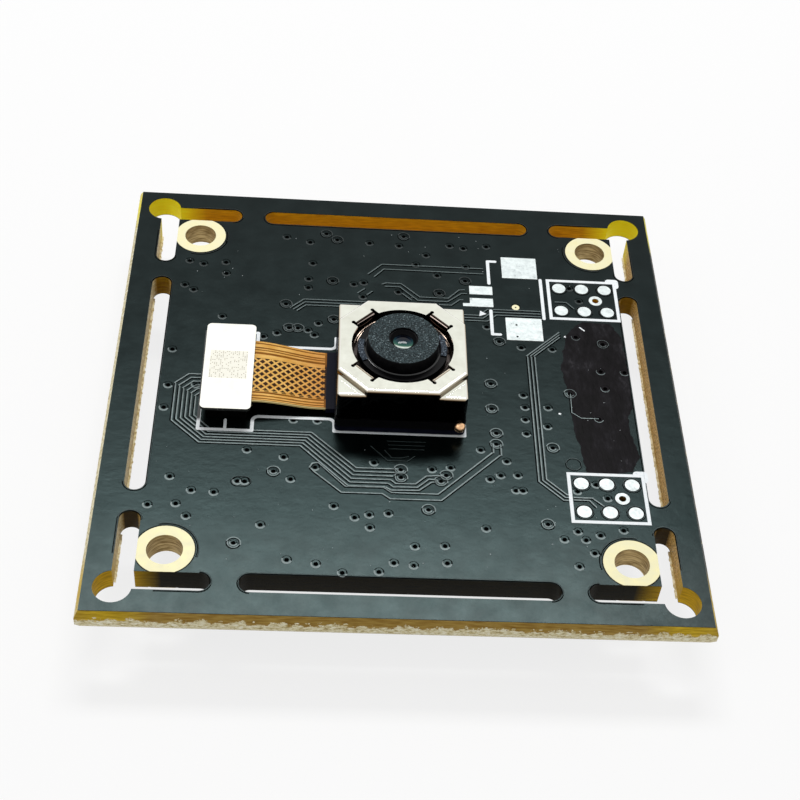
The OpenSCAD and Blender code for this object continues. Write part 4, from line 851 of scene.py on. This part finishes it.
barrel_foot, barrel_top = (corner.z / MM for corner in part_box("lens_barrel"))
barrel_r, recess_r, aperture_r, thread_r, thread_z = 2.32, 0.94, 0.65, 2.41, 5.15
bore_r, bore_top, bore_step, bore_drop = 1.26, 0.37, 0.24, 0.48
face_depths = [(barrel_r, 0.08), (barrel_r - 0.01, 0.04), (barrel_r - 0.035, 0.012),
    (barrel_r - 0.07, 0.008), (recess_r + 0.03, 0.008), (recess_r + 0.01, 0.015), (recess_r, 0.03),
    (recess_r - 0.01, 0.13), (recess_r - 0.08, 0.135), (recess_r - 0.09, 0.16),
    (aperture_r, 0.34), (aperture_r, bore_top)]
bore_depths = [(bore_r + bore_step * step, bore_top + bore_drop * drop)
    for step in range(4) for drop in (step, step + 1)]
barrel_profile = [(thread_r, barrel_foot), (thread_r, thread_z), (barrel_r, thread_z),
    *[(r, barrel_top - depth) for r, depth in face_depths + bore_depths[:-1]],
    (bore_depths[-1][0], barrel_foot)]
finish_piece("lens_barrel_body", turned(barrel_profile, 128), moulded_black,
    "lens", stands_for=("lens_barrel",))

grain_finish = new_finish("eroded_grain", (0.02, 0.024, 0.026), 0.5, Specular_IOR_Level=0.11,
    Specular_Tint=(0.75, 0.97, 1.0, 1))
tree = grain_finish.node_tree
# The eroded grain's specks: the dark ones are the grain itself, the lightest ones painted glints.
glinting_specks = grain(tree, 0.085, 2)
shader_takes(grain_finish, Base_Color=shades(tree, glinting_specks, [(0.36, (0.001, 0.002, 0.003)),
    (0.5, (0.02, 0.032, 0.036)), (0.62, (0.05, 0.075, 0.082)), (0.74, (0.3, 0.36, 0.38))]))
relief(grain_finish, glinting_specks, 0.01)

grain_rings = 48
grain_shape = bmesh.new()
spoke = grain_shape.edges.new([grain_shape.verts.new((r * MM, 0, 0))
    for r in (recess_r + 0.02, barrel_r - 0.04)])
bmesh.ops.subdivide_edges(grain_shape, edges=[spoke], cuts=grain_rings)
bmesh.ops.spin(grain_shape, geom=grain_shape.verts[:] + grain_shape.edges[:], cent=(0, 0, 0),
    axis=(0, 0, 1), angle=math.tau, steps=256, use_merge=True)
bmesh.ops.recalc_face_normals(grain_shape, faces=grain_shape.faces)
if grain_shape.faces[:][0].normal.z < 0:
    bmesh.ops.reverse_faces(grain_shape, faces=grain_shape.faces)
for vert in grain_shape.verts:
    vert.co.z = (barrel_top - 0.007 + 0.007 * wander(vert.co / (0.05 * MM))) * MM
finish_piece("barrel_face_grain", grain_shape, grain_finish, "lens", smooth=80)

carrier_top = 5.2
carrier_finish = new_finish("carrier_black", (0.004, 0.004, 0.005), 0.45, Specular_IOR_Level=0.06)
tree = carrier_finish.node_tree
glued = rising(tree, axes_of(tree)["Z"], (carrier_top + 0.04) * MM, (carrier_top + 0.08) * MM)
glue = shades(tree, grain(tree, 0.1, 3), [(0.42, (0.008, 0.012, 0.02)),
    (0.56, (0.045, 0.065, 0.09)), (0.68, (0.3, 0.36, 0.42))])
shader_takes(carrier_finish, Base_Color=mix_colours(tree, glued, (0.002, 0.002, 0.0025), glue))
relief(carrier_finish, grain(tree, 0.08, 3), 0.01)
dress(carrier_finish, "lens_carrier")

fillet_finish = new_finish("glue_fillet", (0.006, 0.007, 0.008), 0.12)
fillet = turned([(2.405, 0.035), (2.43, 0.015), (2.5, 0.001), (2.5, -0.003), (2.405, -0.003)], 96,
    carrier_top)
finish_piece("barrel_glue_fillet", fillet, fillet_finish, "lens")


# ---- Lens elements -----------------------------
# Moulded optical elements with a green-blue anti-reflection coating, stacked in the barrel
# and held from below by a ring.

front_glass = new_finish("coated_front_lens", (0.02, 0.1, 0.12), 0.05, Specular_IOR_Level=0.2)
tree = front_glass.node_tree
# Painted reflection: the front lens runs from navy at its far side through teal to a white crescent
# at its near rim, for the coating's reflection and a highlight.
reflection_centre = (0.05 * MM, 0.5 * MM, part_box("lens_element_1")[1].z)
off_centre = add_node(tree, "VectorMath", {0: object_place(tree), 1: reflection_centre},
    operation="DISTANCE")
shader_takes(front_glass, Base_Color=shades(tree,
    rising(tree, off_centre.outputs["Value"], 0.1 * MM, 1.2 * MM),
    [(0.1, (0.0005, 0.001, 0.003)), (0.36, (0.002, 0.007, 0.016)), (0.52, (0.006, 0.035, 0.05)),
    (0.68, (0.02, 0.1, 0.085)), (0.79, (0.07, 0.2, 0.13)), (0.84, (0.9, 1.0, 0.92))]))
dress(front_glass, "lens_element_1")
for number, mirrored in ((2, (0.3, 0.9, 1.0)), (3, (0.3, 1.0, 0.6)), (4, (0.5, 0.5, 1.0))):
    dress(new_finish(f"coated_lens_{number}", (0.5, 0.85, 0.8), 0.02, Transmission_Weight=1.0,
        IOR=1.54, Specular_Tint=(*mirrored, 1)), f"lens_element_{number}")


# ---- Flex connector ----------------------------
# Board-to-board plug and socket in black plastic with gilt contacts, under a pale steel
# stiffener glued to the end of the flex.

connector_black = plain_finish("connector_plastic", (0.001, 0.001, 0.001), 0.45, 0.25,
    Specular_IOR_Level=0.03)
dress(connector_black, "connector_socket", "connector_plug")
# Painted shade: the stiffener's upright edges are painted near black.
dress(plain_finish("pale_steel", (0.8, 0.795, 0.72), 0.45, 0.7, 0.04, 0.002, 0.15,
    (0.01, 0.01, 0.009)), "connector_stiffener")

steel_low, steel_high = (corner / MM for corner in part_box("connector_stiffener"))
steel_x = (steel_low.x + steel_high.x) / 2
stain_t, dot_t, dot_r, dot_pitch = 0.002, 0.004, 0.04, 0.13
stain_shape = bmesh.new()
bmesh.ops.create_cube(stain_shape, size=1, matrix=Matrix.Translation(
    Vector((steel_x - 0.02, 0.08, steel_high.z + stain_t / 2 - 0.0005)) * MM)
    @ Matrix.Diagonal((2.45 * MM, 2.5 * MM, stain_t * MM, 1)))
finish_piece("stiffener_tarnish", stain_shape,
    plain_finish("laser_tarnish", (0.96, 0.94, 0.82), 0.5, 0.5, 0.04), smooth=0)
dots = random.Random(4)
dot_places = [(steel_x - 1.19 + column * dot_pitch, -1.1 + row * dot_pitch)
    for column in range(19) for row in range(19) if dots.random() < 0.42]
dot = bmesh.new()
bmesh.ops.create_circle(dot, cap_ends=True, segments=6, radius=dot_r * MM)
bmesh.ops.translate(dot, verts=dot.verts, vec=(0, 0, (steel_high.z + dot_t) * MM))
thickened(dot, dot_t)
dot_shapes = bmesh.new()
add_copies(dot_shapes, dot, dot_places)
finish_piece("stiffener_laser_dots", dot_shapes,
    plain_finish("laser_grey", (0.46, 0.43, 0.33), 0.6, 0.3), smooth=0)


# ---- Flex cable --------------------------------
# Orange polyimide film with its copper laminated inside: solid lines along both edges and a
# crossed shielding mesh between them.

flex_low, flex_high = (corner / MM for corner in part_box("flex_cable"))
film_t, film_taper = 0.12, 0.2
film_middle, film_wide = (flex_low.y + flex_high.y) / 2, (flex_high.y - flex_low.y) / 2
bend_start = steel_high.x


def film_spot(x, across):
    """Place on the film's upper face; across runs from -1 at the near edge to 1 at the far one."""
    t = min(max((x - bend_start) / (flex_high.x - bend_start), 0), 1)
    drop = t * t * (3 - 2 * t)
    top = flex_high.z + (flex_low.z + film_t - flex_high.z) * drop
    return Vector((x, film_middle + across * (film_wide - film_taper * t), top))


film_finish = new_finish("polyimide_film", (0.5, 0.19, 0.03), 0.35, Specular_IOR_Level=0.05)
tree = film_finish.node_tree
axes = axes_of(tree)
drawn_out = grain(tree, 0.5, 4, (0.4, 1, 1))
bare_film = shades(tree, drawn_out, [(0.3, (0.2, 0.065, 0.004)), (0.7, (0.36, 0.14, 0.01))])
backed_film = shades(tree, drawn_out, [(0.3, (0.008, 0.004, 0.001)), (0.7, (0.07, 0.022, 0.003))])
mesh_near, mesh_far, edge_y, edge_slope = -1.85 * MM, 1.0 * MM, -2.42 * MM, -0.0408
meshed = where_all(tree, rising(tree, axes["Y"], mesh_near - 0.1 * MM, mesh_near),
    falling(tree, axes["Y"], mesh_far, mesh_far + 0.1 * MM))
tapered = arithmetic(tree, "MULTIPLY_ADD", axes["X"], edge_slope, axes["Y"])
shader_takes(film_finish, Base_Color=mix_colours(tree,
    falling(tree, tapered, edge_y - 0.04 * MM, edge_y),
    mix_colours(tree, meshed, bare_film, backed_film), (0.75, 0.6, 0.26)))
relief(film_finish, grain(tree, 0.2, 3), 0.003)

film_shape = bmesh.new()
bmesh.ops.create_grid(film_shape, x_segments=90, y_segments=24, size=1)
for vert in film_shape.verts:
    x = flex_low.x + (flex_high.x - flex_low.x) * (vert.co.x + 1) / 2
    vert.co = film_spot(x, vert.co.y) * MM
thickened(film_shape, film_t)
finish_piece("flex_film", film_shape, film_finish, stands_for=("flex_cable",))

copper_finish = new_finish("copper_under_film", (0.85, 0.45, 0.14), 0.35, Specular_IOR_Level=0.06)
tree = copper_finish.node_tree
pale_copper = shades(tree, grain(tree, 0.4, 4, (0.4, 1, 1)),
    [(0.3, (0.72, 0.36, 0.06)), (0.7, (0.95, 0.59, 0.17))])
shader_takes(copper_finish, Base_Color=mix_colours(tree,
    spread(tree, axes_of(tree)["X"], 0, 0.5, -8 * MM, -5 * MM), pale_copper, (0.7, 0.22, 0.03)))

copper_lift = 0.012


def film_strip(shape, start, end, width):
    """A thin copper strip laid on the film between two places, y taken where it is widest."""
    start, run = Vector(start), Vector(end) - Vector(start)
    steps = max(2, round(run.length / 0.15))
    before = len(shape.verts)
    bmesh.ops.create_grid(shape, x_segments=steps, y_segments=1, size=0.5)
    shape.verts.ensure_lookup_table()
    side = Vector((-run.y, run.x)).normalized() * width
    for vert in shape.verts[before:]:
        flat = start + run * (vert.co.x + 0.5) + side * vert.co.y
        vert.co = (film_spot(flat.x, flat.y / film_wide) + Vector((0, 0, copper_lift))) * MM


copper_shape = bmesh.new()
line_from, line_to = bend_start - 0.3, flex_high.x - 0.12
for across, width in ((0.965, 0.12), (0.85, 0.28), (0.735, 0.08), (0.655, 0.14), (0.49, 0.36),
        (-0.66, 0.16), (-0.775, 0.16), (-0.87, 0.12), (-0.945, 0.08)):
    y = across * film_wide
    film_strip(copper_shape, (line_from, y), (line_to, y), width)
mesh_pitch, mesh_from, strip_w = 0.57, line_from + 2, 0.13
mesh_low, mesh_high = -1.72, 1.12
for lean in (1, -1):
    for step in range(-30, 30):
        foot = mesh_from + step * mesh_pitch
        first, last = sorted(foot + lean * y for y in (mesh_low, mesh_high))
        first, last = max(first, line_from), min(last, line_to)
        if last - first > 0.1:
            film_strip(copper_shape, *[(x, (x - foot) * lean) for x in (first, last)], strip_w)
dash_shape = bmesh.new()
dash_y = -0.66 * film_wide
for step in range(8):
    dash_x = line_from + 0.5 + step * mesh_pitch
    film_strip(dash_shape, (dash_x, dash_y), (dash_x + 0.3, dash_y), 0.07)
bmesh.ops.translate(dash_shape, verts=dash_shape.verts, vec=(0, 0, 0.004 * MM))
thickened(dash_shape, copper_lift)
finish_piece("flex_openings", dash_shape, shade_finish, smooth=0)
thickened(copper_shape, 1.5 * copper_lift)
finish_piece("flex_copper", copper_shape, copper_finish, smooth=0)


# ---- Underside ---------------------------------
# Chips in black epoxy, ceramic and ferrite passives, and the nylon cable connector, soldered
# in one pass on the far side of the board.

dress(plain_finish("chip_epoxy", (0.022, 0.022, 0.024), 0.6, 0.3),
    "image_processor", "flash_memory", "voltage_regulators")
dress(plain_finish("tinned_lead", (0.8, 0.81, 0.82), 0.3, 0.3, 0.12, metallic=1.0),
    "flash_leads", "regulator_leads", "inductor_terminals", "capacitor_terminals",
    "resistor_terminals", "plug_pins", "plug_solder_tabs")
dress(plain_finish("crystal_ceramic", (0.5, 0.42, 0.3), 0.5, 0.3), "crystal_base")
dress(plain_finish("crystal_metal", (0.8, 0.76, 0.66), 0.3, 0.4, 0.1, metallic=1.0), "crystal_lid")
dress(plain_finish("ferrite_block", (0.05, 0.05, 0.055), 0.7, 0.25, depth=0.012), "power_inductor")
dress(plain_finish("tan_ceramic", (0.4, 0.27, 0.14), 0.45, 0.3), "capacitor_bodies")
dress(plain_finish("resistor_coat", (0.02, 0.02, 0.025), 0.4, 0.3), "resistor_bodies")
dress(plain_finish("cream_nylon", (0.8, 0.74, 0.6), 0.4, 0.8, 0.08, Subsurface_Weight=0.1),
    "plug_housing")


# ---- Stray ink ---------------------------------
# Short strokes and drops of the same white epoxy ink, printed in one pass with the rest, beside
# the blotch and the connector.

ridges("white_ink_strokes", [[(12.75, 6.35), (13.1, 6.0)], [(11.6, 5.4), (11.7, 5.3)],
    [(10.62, -1.92), (10.78, -1.98)], [(-11.3, -3.6), (-11.3, -4.4)]],
    0.14, 0.02, print_finish, "white_print")


# ---- Dust --------------------------------------
# White specks of lint and fibre that settled on the mask and lie loose there, all round the
# module and the flex.

lint_finish = new_finish("lint", (0.4, 0.44, 0.45), 0.8)
lint = random.Random(7)
lint_shape = bmesh.new()
motes, mote_corners = 90, 12
while len(lint_shape.verts) < motes * mote_corners:
    x, y = lint.uniform(-15.5, 15.5), lint.uniform(-15.5, 15.5)
    if (abs(x) < 5 and abs(y) < 5) or (-13.2 < x < -4 and abs(y) < 4.2):
        continue
    size = lint.uniform(0.012, 0.035)
    mote = (Matrix.Translation((x * MM, y * MM, (face_z + size * 0.4) * MM))
        @ Matrix.Rotation(lint.uniform(0, math.pi), 4, "Z")
        @ Matrix.Diagonal((size * lint.uniform(0.8, 2.2) * MM, size * MM, size * 0.5 * MM, 1)))
    bmesh.ops.create_icosphere(lint_shape, subdivisions=1, radius=1, matrix=mote)
finish_piece("lint_specks", lint_shape, lint_finish)
